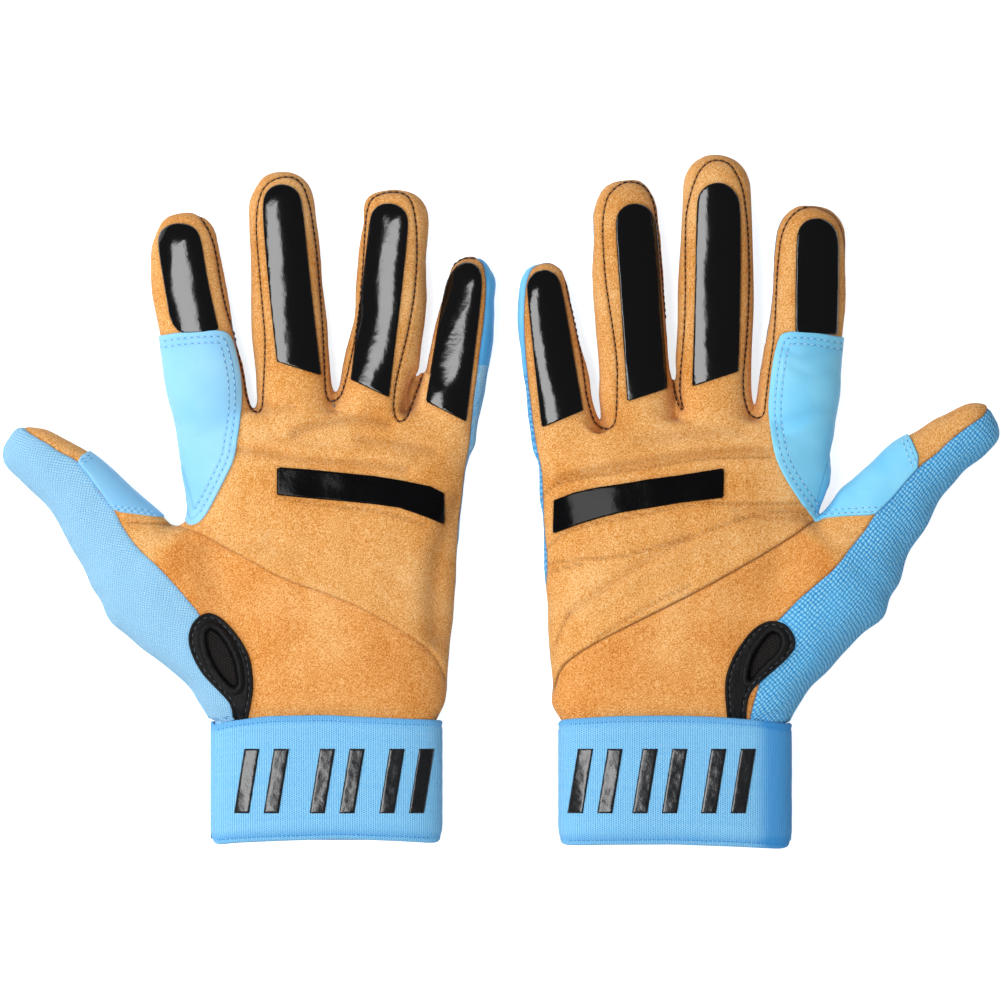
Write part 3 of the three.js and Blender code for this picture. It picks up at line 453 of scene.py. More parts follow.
class Sheet:
    def __init__(self, v, t, data=None):
        self.v, self.t, self.data = v, t, dict(data or {})

    def copy(self):
        return Sheet(self.v.copy(), self.t.copy(), {k: a.copy() for k, a in self.data.items()})

    def cut(self, name, level=0.0, snap=0.1):
        """Splits the triangles where a value crosses a level, and snaps points close to it."""
        f = self.data[name] - level
        f = np.where(np.abs(f) < snap, 0.0, f)
        self.data[name] = np.where(f == 0, level, self.data[name])
        s = np.sign(f)[self.t].astype(int)
        cross = (s.max(1) > 0) & (s.min(1) < 0)
        if not cross.any():
            return
        t, sc = self.t[cross], s[cross]
        # the lone corner lies on the level, or by itself on one side of it
        zero = (sc == 0).any(1)
        lone = np.where(zero, np.argmax(sc == 0, axis=1),
                        np.argmax(sc == -np.sign(sc.sum(1))[:, None], axis=1))
        rows = np.arange(len(t))
        a, b, c = (t[rows, (lone + k) % 3] for k in range(3))
        first = np.concatenate([a[~zero], a[~zero], b[zero]])
        second = np.concatenate([b[~zero], c[~zero], c[zero]])
        low, high = np.minimum(first, second), np.maximum(first, second)
        key, where = np.unique(low.astype(np.int64) * len(self.v) + high, return_inverse=True)
        low, high = key // len(self.v), key % len(self.v)
        w = f[low] / (f[low] - f[high])
        where = where.ravel() + len(self.v)
        self.v = np.vstack([self.v, self.v[low] + w[:, None] * (self.v[high] - self.v[low])])
        for k, values in self.data.items():
            weight = w if values.ndim == 1 else w[:, None]
            new = values[low] + weight * (values[high] - values[low])
            if k == name:
                new = np.full(len(low), level)
            self.data[k] = np.concatenate([values, new])
        n = (~zero).sum()
        p, q, r = where[:n], where[n:2 * n], where[2 * n:]
        az, bz, cz = a[zero], b[zero], c[zero]
        a, b, c = a[~zero], b[~zero], c[~zero]
        self.t = np.vstack([self.t[~cross], np.column_stack([a, p, q]),
                            np.column_stack([p, b, c]), np.column_stack([p, c, q]),
                            np.column_stack([az, bz, r]), np.column_stack([az, r, cz])])

    def mean(self, name):
        return self.data[name][self.t].mean(1)

    def take(self, mask):
        used, t = np.unique(self.t[mask], return_inverse=True)
        return Sheet(self.v[used], t.reshape(-1, 3), {k: a[used] for k, a in self.data.items()})

    def corners(self):
        return [self.v[self.t[:, k]] for k in range(3)]

    def normals(self):
        a, b, c = self.corners()
        face = np.cross(b - a, c - a)
        out = np.zeros((len(self.v), 3))
        for k in range(3):
            for axis in range(3):
                out[:, axis] += np.bincount(self.t[:, k], face[:, axis], len(self.v))
        return unit(out, 1e-12)

    def faced_out(self):
        a, b, c = self.corners()
        if np.einsum("ij,ij->i", a, np.cross(b, c)).sum() < 0:
            self.t = self.t[:, ::-1]
        return self

    def lifted(self, height):
        """Moves along the whole skin's normals, and keeps smooth shading across later cuts."""
        self.v = self.v + self.data["normal"] * np.reshape(height, (-1, 1))
        self.data["shade"] = self.normals()
        return self


def merged(sheets):
    names = set.intersection(*(set(s.data) for s in sheets))
    offset, tris = 0, []
    for s in sheets:
        tris.append(s.t + offset)
        offset += len(s.v)
    return Sheet(np.vstack([s.v for s in sheets]), np.vstack(tris),
                 {k: np.concatenate([s.data[k] for s in sheets]) for k in names})


def ring(centre, across, half_width, half_depth, power, roll=0.0, sides=64):
    angle = np.linspace(0, 2 * math.pi, sides, endpoint=False)
    cos, sin = np.cos(angle), np.sin(angle)
    flat = half_width * np.sign(cos) * np.abs(cos) ** (2 / power)
    rise = half_depth * np.sign(sin) * np.abs(sin) ** (2 / power)
    flat, rise = (flat * math.cos(roll) - rise * math.sin(roll),
                  flat * math.sin(roll) + rise * math.cos(roll))
    out = np.array(centre, float) + np.outer(flat, [across[0], across[1], 0])
    out[:, 2] += rise
    return out


def around(sides):
    return [(k, (k + 1) % sides) for k in range(sides)]


def quads(rows, sides):
    """The faces between closed rows of points."""
    return [(r * sides + k, (r + 1) * sides + k, (r + 1) * sides + n, r * sides + n)
            for r in range(rows - 1) for k, n in around(sides)]


def halves(faces):
    return [half for a, b, c, d in faces for half in ((a, b, c), (a, c, d))]


def loft(rings):
    """Points and faces of a closed skin through rings."""
    v = np.vstack(rings + [rings[0].mean(0)[None], rings[-1].mean(0)[None]])
    sides, first, last = len(rings[0]), len(v) - 2, len(v) - 1
    faces, top = quads(len(rings), sides), (len(rings) - 1) * sides
    for k, n in around(sides):
        faces += [(first, k, n), (last, top + n, top + k)]
    return v, faces


def through(stations, values, at):
    """A smooth curve through values at stations, with flat ends."""
    x, y = np.array(stations, float), np.array(values, float)
    slope = np.gradient(y, x)
    k = np.clip(np.searchsorted(x, at) - 1, 0, len(x) - 2)
    h = x[k + 1] - x[k]
    t = (at - x[k]) / h
    a, b = (1 + 2 * t) * (1 - t) ** 2, t * (1 - t) ** 2
    c, d = t * t * (3 - 2 * t), t * t * (t - 1)
    return a * y[k] + b * h * slope[k] + c * y[k + 1] + d * h * slope[k + 1]


# The skin of one glove, in columns: share of the palm's length, height and half depth of the
# section, how far each edge has come from the wrist to the knuckles, and how square it is

PALM_STATIONS = np.array([
    (-0.13, 16.0, 10.1, 0.00, 0.00, 3.2),
    (0.000, 16.0, 10.1, 0.00, 0.00, 3.2),
    (0.035, 15.4, 12.0, 0.06, 0.15, 2.9),
    (0.163, 14.3, 14.6, 0.26, 0.28, 2.6),
    (0.356, 13.7, 14.2, 0.45, 0.41, 2.5),
    (0.644, 13.0, 13.6, 0.59, 0.56, 2.5),
    (0.837, 12.1, 12.4, 0.76, 0.72, 2.6),
    (0.940, 11.4, 10.9, 0.92, 0.90, 2.7),
    (1.000, 11.1, 9.7, 1.00, 1.00, 2.8)])


def palm_rings(hand):
    wrist, knuckles = STRAP["width"] + 0.3, hand.fingers["little"].root[1]
    share, *values = PALM_STATIONS.T
    y = wrist + share * (knuckles + 1.5 - wrist)
    at = np.linspace(y[0], y[-1], 40)
    middle, depth, thumb_edge, little_edge, power = (through(y, v, at) for v in values)
    half = STRAP["half_width"] - STRAP["wall"] - 0.3
    left = -half + thumb_edge * (hand.left + half)
    right = half + little_edge * (hand.right - half)
    return [ring(((l + r) / 2, a, m), (1, 0), (r - l) / 2, d, p)
            for l, r, a, m, d, p in zip(left, right, at, middle, depth, power)]


def tube_rings(f, back):
    """Sections of a finger, from back millimetres below its knuckle to its rounded tip."""
    d = f.depths
    straight = f.length - f.tip
    rings = []
    for y in np.arange(-back, straight, 2.5):
        t = np.clip(y / straight, 0, 1)
        deeper = 0.6 * (1 - smoothstep(y, -8, 6))
        width = f.half + (f.tip - f.half) * t
        depth = d["root_depth"] + (d["tip_depth"] - d["root_depth"]) * t + deeper
        bow = d["bow"] * math.sin(math.pi * min(max(y, 0) / f.length, 1))
        centre = (*f.at(bow, y + HINGE_RISE), f.height(y + HINGE_RISE))
        rings.append(ring(centre, f.across, width, depth, 2.3,
                          f.roll * float(smoothstep(y, 2, 14))))
    for angle in np.radians([0, 10, 20, 30, 40, 50, 60, 68, 76, 83]):
        y = straight + f.tip * math.sin(angle)
        scale = math.cos(angle) ** 0.8
        bow = d["bow"] * math.sin(math.pi * min(y / f.length, 1))
        centre = (*f.at(bow, y + HINGE_RISE), f.height(y + HINGE_RISE))
        rings.append(ring(centre, f.across, f.tip * scale, d["tip_depth"] * scale, 2.3, f.roll))
    return rings


def thenar_rings(hand):
    """Sections of the ball of the thumb, between its outer and inner lines in the plan."""
    thumb = hand.fingers["thumb"]
    w, n = hand.width, PALM_LENGTH
    outer = [(-40, 36), (-40, 43.6), (-0.462 * w, 0.368 * n), (-0.593 * w, 0.449 * n),
             (-0.692 * w, 0.52 * n), thumb.at(-thumb.half, 0), thumb.at(-thumb.half, 6)]
    inner = [(-13.3, 36), (-13.3, 43.6), (-0.2 * w, 0.437 * n), (-0.3 * w, 0.596 * n),
             (-0.39 * w, 0.735 * n), thumb.at(thumb.half, 0), thumb.at(thumb.half, 6)]
    along = np.arange(len(outer), dtype=float)
    at = np.linspace(0, len(outer) - 1, 34)
    a, b = (np.column_stack([through(along, values, at) for values in zip(*line)])
            for line in (outer, inner))
    height = through(along, [16, 16, 14.5, 14, 13.5, 13, 13], at)
    depth = through(along, [10.1, 10.1, 13.6, 13.6, 13.3, 12.4, 11.4], at)
    rings = []
    for p, q, z, deep in zip(a, b, height, depth):
        size = np.linalg.norm(q - p)
        rings.append(ring((*(p + q) / 2, z), (q - p) / size, size / 2, deep, 2.4))
    return rings


def relax(v, t, rounds, factor=0.5):
    edges = np.vstack([t[:, [0, 1]], t[:, [1, 2]], t[:, [2, 0]]])
    edges = np.unique(np.sort(edges, axis=1), axis=0)
    a, b = np.concatenate([edges[:, 0], edges[:, 1]]), np.concatenate([edges[:, 1], edges[:, 0]])
    count = np.bincount(a, minlength=len(v))[:, None]
    for _ in range(rounds):
        total = np.column_stack([np.bincount(a, v[b, k], len(v)) for k in range(3)])
        v = v + factor * (total / count - v)
    return v


def remeshed(parts):
    """One skin round closed parts, as points and triangles."""
    offset, points, faces = 0, [], []
    for v, f in parts:
        points.append(v)
        faces += [tuple(i + offset for i in face) for face in f]
        offset += len(v)
    mesh = bpy.data.meshes.new("volume")
    mesh.from_pydata(np.vstack(points).tolist(), [], faces)
    mesh.validate()
    obj = bpy.data.objects.new("volume", mesh)
    bpy.context.scene.collection.objects.link(obj)
    modifier = obj.modifiers.new("remesh", "REMESH")
    modifier.mode, modifier.voxel_size, modifier.adaptivity = "VOXEL", VOXEL, 0
    done = obj.evaluated_get(bpy.context.evaluated_depsgraph_get()).to_mesh()
    v = np.empty(len(done.vertices) * 3)
    done.vertices.foreach_get("co", v)
    done.calc_loop_triangles()
    t = np.empty(len(done.loop_triangles) * 3, int)
    done.loop_triangles.foreach_get("vertices", t)
    bpy.data.objects.remove(obj)
    bpy.data.meshes.remove(mesh)
    return v.reshape(-1, 3), t.reshape(-1, 3)


def gap_line(a, b, v):
    """Distance beyond the line midway between two neighbouring fingers, towards b."""
    middle = (a.at(a.half, 0) + b.at(-b.half, 0)) / 2
    way = a.along + b.along
    way = way / np.linalg.norm(way)
    offset = v[:, :2] - middle
    return offset[:, 0] * way[1] - offset[:, 1] * way[0]


def finger_field(hand, f, v):
    """Positive inside the part of the skin that follows a finger."""
    across, beyond = f.local(v)
    value = beyond - f.start
    if f.name == "thumb":
        return np.minimum(value, f.half + 5 - across)
    k = FINGERS.index(f.name)
    if k:
        value = np.minimum(value, gap_line(hand.fingers[FINGERS[k - 1]], f, v))
    else:
        value = np.minimum(value, across + f.half + 8)
    if k < 3:
        value = np.minimum(value, -gap_line(f, hand.fingers[FINGERS[k + 1]], v))
    return value


def side_seam(hand, v):
    """Height of the seam along the sides, everywhere in the plan."""
    z = np.interp(v[:, 1], [40, 75, 120, 151], [16.0, 14.0, 11.2, 9.5])
    for f in hand.fingers.values():
        across, beyond = f.local(v)
        mine = smoothstep(beyond, -6, 2) * (finger_field(hand, f, v) > -3)
        z = z + mine * (f.height(beyond) - 1.5 + across * math.sin(f.roll) - z)
    return z


def pushed(hand, v, pushes):
    """Moves the skin in the plan round chosen places, in pixels of the photograph."""
    out = v.copy()
    for x, y, right, down, reach, *tall in pushes:
        offset = (v[:, :2] - hand.plan([(x, y)])[0]) / (reach * PIXEL)
        d = np.hypot(offset[:, 0], offset[:, 1] / (tall[0] if tall else 1))
        out[:, :2] += np.exp(-d * d)[:, None] * [right * hand.sign * PIXEL, -down * PIXEL]
    return out


def under_strap(v):
    """Keeps the skin inside the strap where the strap covers it."""
    s = STRAP
    half, depth = s["half_width"] - s["wall"] - 0.4, s["half_depth"] - s["wall"] - 0.4
    rise = v[:, 2] - s["height"]
    size = ((np.abs(v[:, 0]) / half) ** s["power"]
            + (np.abs(rise) / depth) ** s["power"]) ** (1 / s["power"])
    share = np.where(size > 1, 1 / np.maximum(size, 1e-6) - 1, 0) \
        * (1 - smoothstep(v[:, 1], s["width"] + 0.3, s["width"] + 5.0))
    out = v.copy()
    out[:, 0] += v[:, 0] * share * (v[:, 1] < s["width"] + 0.4)
    out[:, 2] += rise * share
    return out


def base_skin(hand, lines):
    parts = [loft(palm_rings(hand)), loft(thenar_rings(hand))]
    parts += [loft(tube_rings(f, 12.0 if name == "thumb" else 14.0))
              for name, f in hand.fingers.items()]
    v, t = remeshed(parts)
    v = relax(v, t, 12)
    # the valley beside the ball of the thumb is softer
    soft = relax(v, t, 60)
    valley = line_distance(v, hand.curve(lines["valley"]))
    v = v + ((v[:, 2] > 16) * bell(valley, 9))[:, None] * (soft - v)
    skin = Sheet(v, t).faced_out()
    skin.v = skin.v + 0.25 * skin.normals()
    skin.data["low"] = skin.v[:, 1] - SKIN_START
    skin.cut("low")
    skin = skin.take(skin.mean("low") > 0)
    del skin.data["low"]
    skin.v = pushed(hand, skin.v, lines["pushes"])
    # folds and a little unevenness on the palm side
    n = skin.normals()
    up = smoothstep(n[:, 2], 0.1, 0.7)
    lift, crease = np.zeros(len(skin.v)), np.zeros(len(skin.v))
    for height, width, line in lines["folds"]:
        d = line_distance(skin.v, hand.curve(line))
        lift += FOLD_LIFT * height * bell(d, width)
        # The valleys keep how deep they are, for painted shade in the creases.
        crease += max(-height, 0) * bell(d, 0.75 * width)
    skin.data["crease"] = crease * up
    rough = np.sin(skin.v[:, 0] * 0.31 + skin.v[:, 1] * 0.17) \
        * np.sin(skin.v[:, 1] * 0.23 - skin.v[:, 0] * 0.11 + 1.3)
    palm = smoothstep(skin.v[:, 1], 50, 70) * (1 - smoothstep(skin.v[:, 1], 135, 150))
    skin.v = under_strap(skin.v + n * (up * lift + 0.16 * rough * palm)[:, None])
    skin.v[:, 2] = np.maximum(skin.v[:, 2], FLOOR_GAP)
    for f in hand.fingers.values():
        skin.data["in_" + f.name] = finger_field(hand, f, skin.v)
    for f in hand.fingers.values():
        skin.cut("in_" + f.name)
    skin.data["rest"] = skin.v.copy()
    skin.data["normal"] = skin.normals()
    return skin


def region_of(sheet):
    """Index of the finger that each triangle follows, or -1 for the hand."""
    out = np.full(len(sheet.t), -1)
    for k, name in enumerate(LEFT.fingers):
        out[sheet.mean("in_" + name) > 0] = k
    return out


# Meshes and pieces


def make_mesh(hand, name, sheet, material, normals=None):
    v = hand.world(sheet.v)
    t = sheet.t if hand.sign > 0 else sheet.t[:, ::-1]
    t = np.ascontiguousarray(t, dtype=np.int32)
    mesh = bpy.data.meshes.new(name)
    mesh.vertices.add(len(v))
    mesh.vertices.foreach_set("co", v.astype(np.float32).ravel())
    mesh.loops.add(t.size)
    mesh.loops.foreach_set("vertex_index", t.ravel())
    mesh.polygons.add(len(t))
    mesh.polygons.foreach_set("loop_start", np.arange(0, t.size, 3, dtype=np.int32))
    mesh.polygons.foreach_set("use_smooth", np.ones(len(t), bool))
    mesh.update(calc_edges=True)
    mesh.validate()
    values = {"rest": sheet.data.get("rest", sheet.v),
              "seam": sheet.data.get("seam", np.zeros(len(v)))}
    for key, kind, field in (("rest", "FLOAT_VECTOR", "vector"), ("seam", "FLOAT", "value")):
        attribute = mesh.attributes.new(key, kind, "POINT")
        attribute.data.foreach_set(field, values[key].astype(np.float32).ravel())
    if normals is not None:
        mesh.normals_split_custom_set_from_vertices((normals * [hand.sign, 1, 1]).tolist())
    mesh.materials.append(material)
    obj = bpy.data.objects.new(name, mesh)
    bpy.context.scene.collection.objects.link(obj)
    return obj


def piece(hand, name, sheet, material, region, slot, replaced=(), shaded=True):
    """Makes a piece that follows the hand or the tab; a finger's piece stays where it is made."""
    if len(sheet.t) == 0:
        return
    normals = sheet.data.get("shade") if shaded else None
    obj = make_mesh(hand, f"{hand.side}_{name}", sheet, MATERIALS[material], normals)
    if region in ("hand", "tab"):
        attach(obj, hand.side + ("_glove" if region == "hand" else "_tab"))
    else:
        f = hand.fingers[region]
        start, end = (hand.world(np.array([(*f.at(0, at), f.depths["root_height"])], float))[0]
                      for at in (f.start, f.end))
        tuple(start)
        tuple(end)
        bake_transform(obj)
    if replaced:
        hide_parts(*[f"{hand.side}_{node}" for node in replaced])


# Materials


def shade(colour):
    """Linear colour from plain 0 to 255 values."""
    c = np.array(colour, float) / 255
    lin = np.where(c <= 0.04045, c / 12.92, ((c + 0.055) / 1.055) ** 2.4)
    return (*[float(x) for x in lin], 1.0)


class Graph:
    """A material made of nodes, with lengths in millimetres."""

    def __init__(self, name):
        self.material = bpy.data.materials.new(name)
        self.material.use_nodes = True
        self.tree = self.material.node_tree
        self.tree.nodes.clear()
        self.out = self.add("OutputMaterial")
        self.rest = self.add("Attribute", attribute_name="rest").outputs["Vector"]

    def add(self, kind, put=None, **settings):
        n = self.tree.nodes.new("ShaderNode" + kind)
        for key, value in settings.items():
            setattr(n, key, value)
        for key, value in (put or {}).items():
            if isinstance(value, bpy.types.NodeSocket):
                self.tree.links.new(value, n.inputs[key])
            else:
                n.inputs[key].default_value = value
        return n

    def noise(self, scale, detail=2.0, rough=0.5, distort=0.0, vector=None):
        put = {"Vector": vector or self.rest, "Scale": scale, "Detail": detail,
               "Roughness": rough, "Distortion": distort}
        return self.add("TexNoise", put).outputs["Fac"]

    def math(self, operation, a, b=0.0, clamp=False):
        return self.add("Math", {0: a, 1: b}, operation=operation, use_clamp=clamp).outputs[0]

    def times(self, a, b, clamp=False):
        return self.math("MULTIPLY", a, b, clamp)

    def plus(self, a, b, clamp=False):
        return self.math("ADD", a, b, clamp)

    def minus(self, a, b, clamp=False):
        return self.math("SUBTRACT", a, b, clamp)

    def weighed(self, *terms):
        """The sum of values times their weights."""
        total = self.times(*terms[0])
        for term in terms[1:]:
            total = self.plus(total, self.times(*term))
        return total

    def ridges(self, phase):
        return self.math("ABSOLUTE", self.math("SINE", phase))

    def vector(self, operation, put):
        return self.add("VectorMath", put, operation=operation).outputs[0]

    def ramp(self, value, *stops):
        n = self.add("ValToRGB", {"Fac": value})
        ramp = n.color_ramp
        while len(ramp.elements) < len(stops):
            ramp.elements.new(0.5)
        for element, (at, colour) in zip(ramp.elements, stops):
            element.position, element.color = at, shade(colour)
        return n.outputs["Color"]

    def tinted(self, colour, factor, towards):
        put = {0: factor, 6: colour, 7: shade(towards)}
        return self.add("Mix", put, data_type="RGBA", clamp_factor=True).outputs[2]

    def seam(self, factor):
        """How much of the darker tone there is, after the values at the points: the seams' own
        tone, and painted shade in creases, grooves, round raised pieces, near the finger seams
        and at the strap's thumb-side end.
        """
        value = self.add("Attribute", attribute_name="seam").outputs["Fac"]
        return self.times(value, factor, clamp=True)

    def mapping(self, scale=(1, 1, 1), turn=0.0, vector=None):
        return self.add("Mapping", {"Vector": vector or self.rest, "Scale": scale,
                                    "Rotation": (0, 0, turn)}).outputs["Vector"]

    def sheared(self, turn):
        """Turned plan coordinates that also change down steep sides."""
        parts = self.add("SeparateXYZ", {0: self.rest}).outputs
        x = self.plus(parts[0], self.times(parts[2], 0.8))
        y = self.plus(parts[1], self.times(parts[2], 0.35))
        plan = self.add("CombineXYZ", {0: x, 1: y}).outputs[0]
        return self.mapping(turn=turn, vector=plan)

    def bump(self, height, strength, distance, normal=None):
        put = {"Height": height, "Strength": strength, "Distance": distance * MM}
        if normal:
            put["Normal"] = normal
        return self.add("Bump", put).outputs["Normal"]

    def finish(self, colour, roughness, normal, specular, sheen=None):
        put = {"Base Color": colour, "Roughness": roughness, "Normal": normal,
               "Specular IOR Level": specular}
        if sheen:
            put.update({"Sheen Weight": 0.1, "Sheen Roughness": sheen})
        shader = self.add("BsdfPrincipled", put)
        self.tree.links.new(shader.outputs[0], self.out.inputs[0])
        return self.material


def suede(name, low, middle, high):
    g = Graph(name)
    fine, grain = g.noise(2.1, 2, 0.75), g.noise(1.2, 2, 0.6)
    nap, broad = g.noise(0.2, 3, 0.6, distort=0.8), g.noise(0.045)
    brushed = g.noise(0.6, vector=g.mapping((1.0, 0.3, 1.0), 0.5))
    tone = g.weighed((fine, 1.6), (grain, 0.2), (nap, 0.18), (brushed, 0.12), (broad, 0.45))
    colour = g.ramp(g.minus(tone, 0.775), (0.2, low), (0.5, middle), (0.8, high))
    # Darker brown where the seam values say: the seams' own tone, and painted shade in the
    # creases, round the raised pieces and near the finger seams.
    colour = g.tinted(colour, g.seam(g.plus(0.7, g.times(grain, 0.5))), (112, 54, 16))
    normal = g.bump(grain, 0.3, 0.4, g.bump(fine, 0.4, 0.25))
    return g.finish(colour, 0.95, normal, 0.12, sheen=0.6)


def leather(name, low, high):
    g = Graph(name)
    broad, pore = g.noise(0.05), g.noise(2.4)
    crease = g.noise(0.35, 3, distort=0.4, vector=g.mapping((0.35, 1.0, 1.0), 0.2))
    # Darker blue where the seam values say: painted shade in the sunk stitch rows and the
    # creases; the left glove's thumb patch is a little darker all over.
    colour = g.tinted(g.ramp(broad, (0.3, low), (0.7, high)), g.seam(0.75), (62, 140, 206))
    normal = g.bump(crease, 0.16, 0.9, g.bump(pore, 0.1, 0.15))
    return g.finish(colour, g.plus(0.42, g.times(pore, 0.14)), normal, 0.3)


def knit(name, turn, width, row, gap, low, high, depth):
    """Small soft pillows in two crossing sets of rows, darker where they meet."""
    g = Graph(name)
    uv = g.sheared(turn)
    wobble = g.add("TexNoise", {"Vector": uv, "Scale": 0.3, "Detail": 1.0}).outputs["Color"]
    shift = g.vector("SUBTRACT", {0: wobble, 1: (0.5, 0.5, 0.5)})
    uv = g.vector("ADD", {0: uv, 1: g.vector("SCALE", {0: shift, "Scale": width})})
    parts = g.add("SeparateXYZ", {0: uv}).outputs
    across, along = (g.ridges(g.times(parts[k], math.pi / size))
                     for k, size in ((0, width), (1, row)))
    pillow = g.math("POWER", g.times(across, along), 0.6)
    strand = g.noise(2.2)
    tone = g.plus(pillow, g.times(g.minus(strand, 0.5), 0.9))
    colour = g.ramp(tone, (0.05, gap), (0.5, low), (0.95, high))
    patchy = g.minus(g.noise(0.09), 0.48, clamp=True)
    colour = g.tinted(colour, g.times(patchy, 1.3, clamp=True), low)
    # Darker where the seam values say: the seams' own tone, and painted shade in the creases and
    # near the seams.
    colour = g.tinted(colour, g.seam(0.6), gap)
    normal = g.bump(strand, 0.25, 0.2, g.bump(pillow, 0.7, depth))
    return g.finish(colour, 0.85, normal, 0.2, sheen=0.5)


def elastic():
    """Upright strands with staggered knots. The rest vector is along, up, outwards."""
    g = Graph("elastic_blue")
    parts = g.add("SeparateXYZ", {0: g.rest}).outputs
    across = g.times(parts[0], math.pi / 0.8)
    up = g.plus(g.times(parts[1], math.pi / 0.74), g.times(across, 0.5))
    column, knot = g.ridges(across), g.ridges(up)
    between = g.minus(1.0, column)
    speck = g.noise(1.9, 2, 0.7, vector=g.mapping((1.0, 0.6, 1.0)))
    ribs = g.noise(0.5, vector=g.mapping((0.05, 1.4, 1.0)))
    broad = g.noise(0.05)
    tone = g.minus(g.weighed((speck, 0.9), (ribs, 0.25), (broad, 0.25)), 0.2)
    colour = g.ramp(tone, (0.2, (120, 196, 244)), (0.5, (148, 215, 250)),
                    (0.8, (182, 231, 254)))
    dots = g.times(g.times(between, g.minus(1.0, knot)), g.times(broad, 5.0), clamp=True)
    dots = g.plus(dots, g.times(between, 0.2), clamp=True)
    colour = g.tinted(colour, dots, (66, 152, 222))
    # Darker where the seam values say: the hems' own tone, and painted shade in the grooves and
    # towards the strap's thumb-side end.
    colour = g.tinted(colour, g.seam(0.7), (64, 152, 222))
    normal = g.bump(g.plus(column, g.times(knot, 0.6)), 0.4, 0.14)
    return g.finish(colour, 0.8, g.bump(speck, 0.3, 0.2, normal), 0.25, sheen=0.5)


def dark_mesh():
    g = Graph("dark_mesh")
    brick = g.add("TexBrick", {"Vector": g.sheared(0.6), "Scale": 1.0, "Mortar Size": 0.16,
                               "Mortar Smooth": 0.6, "Brick Width": 1.1, "Row Height": 0.9,
                               "Color1": shade((34, 30, 30)), "Color2": shade((44, 38, 36)),
                               "Mortar": shade((8, 8, 8))}, offset=0.5)
    normal = g.bump(g.minus(1.0, brick.outputs["Fac"]), 0.6, 0.3)
    return g.finish(brick.outputs["Color"], 0.8, normal, 0.3)


def plain(name, tones, noises, bumps, rough, specular):
    """Two tones after the first noise, bumps, and a roughness that can follow that noise."""
    g = Graph(name)
    fields = [g.noise(*noise) for noise in noises]
    normal = None
    for k, strength, distance in bumps:
        normal = g.bump(fields[k], strength, distance, normal)
    least, share = rough
    roughness = g.plus(least, g.times(fields[0], share)) if share else least
    return g.finish(g.ramp(fields[0], *tones), roughness, normal, specular)


def grip(name, mirror, gloss):
    return plain(name, [(0.3, (6, 6, 7)), (0.8, (15, 15, 17))],
                 [(2.0, 3, 0.7), (0.8, 3, 0.65), (0.1,)],
                 [(1, 0.12, 0.3), (2, 0.18, 1.2)], (gloss, 0.1), mirror)


def pile(name, low, high, scale):
    return plain(name, [(0.3, low), (0.75, high)], [(scale, 3, 0.8)], [(0, 0.8, 0.5)],
                 (0.95, 0), 0.2)


def thread(name, low, high):
    return plain(name, [(0.3, low), (0.7, high)], [(3.0,)], [(0, 0.3, 0.1)], (0.6, 0), 0.3)


MATERIALS = {
    "suede": suede("suede", (198, 117, 33), (234, 166, 88), (255, 211, 152)),
    "suede_heel": suede("suede_heel", (194, 106, 27), (233, 159, 80), (255, 204, 140)),
    # leather_right is a more saturated copy of the same leather, with less red: painted shade,
    # for the right glove's patches turned away from the light.
    "leather_left": leather("smooth_leather_left", (142, 210, 254), (162, 222, 255)),
    "leather_right": leather("smooth_leather_right", (124, 212, 254), (148, 225, 255)),
    # A deeper copy of the same leather: painted shade for the left glove's little fingertip side,
    # which faces away from the light.
    "leather_painted_shade": leather("smooth_leather_side", (84, 178, 240), (112, 200, 250)),
    "knit_left": knit("knit_mesh_left", 0.15, 0.95, 0.8, (112, 182, 232), (152, 208, 244),
                      (178, 224, 250), 0.3),
    "knit_right": knit("knit_mesh_right", 0.8, 1.45, 1.2, (40, 132, 208), (94, 190, 246),
                       (156, 222, 255), 0.45),
    "grip": grip("grip_black", 0.72, 0.05),
    "bar": grip("bar_black", 0.14, 0.1),
    "mark": plain("mark_black", [(0.35, (18, 20, 23)), (0.75, (32, 34, 38))],
                  [(1.1, 3, 0.7), (0.12,)], [(0, 0.25, 0.3), (1, 0.6, 1.5)], (0.16, 0.16), 0.8),
    "elastic": elastic(),
    "binding": plain("black_binding", [(0.3, (3, 3, 4)), (0.75, (20, 20, 22))],
                     [(0.9, 3, 0.65), (2.6,)], [(1, 0.6, 0.25), (0, 0.6, 0.5)], (0.55, 0), 0.3),
    "dark_mesh": dark_mesh(),
    "hook": pile("hook_tape", (10, 10, 12), (58, 58, 62), 1.2),
    "lining": pile("lining", (70, 140, 196), (112, 178, 226), 0.9),
    "black_thread": thread("black_thread", (8, 7, 7), (28, 25, 24)),
    "blue_thread": thread("blue_thread", (168, 220, 248), (214, 240, 254)),
    # Dark blue dashes: painted shadow between the stitches on the patches, and darker stitches on
    # the strap.
    "blue_shadow": thread("blue_shadow", (44, 122, 190), (80, 160, 220)),
    "grey_thread": thread("grey_thread", (58, 62, 68), (104, 110, 118)),
    "tan_thread": thread("tan_thread", (238, 166, 78), (255, 204, 122)),
}

# Profiles of the raised pieces, by distance from their edge

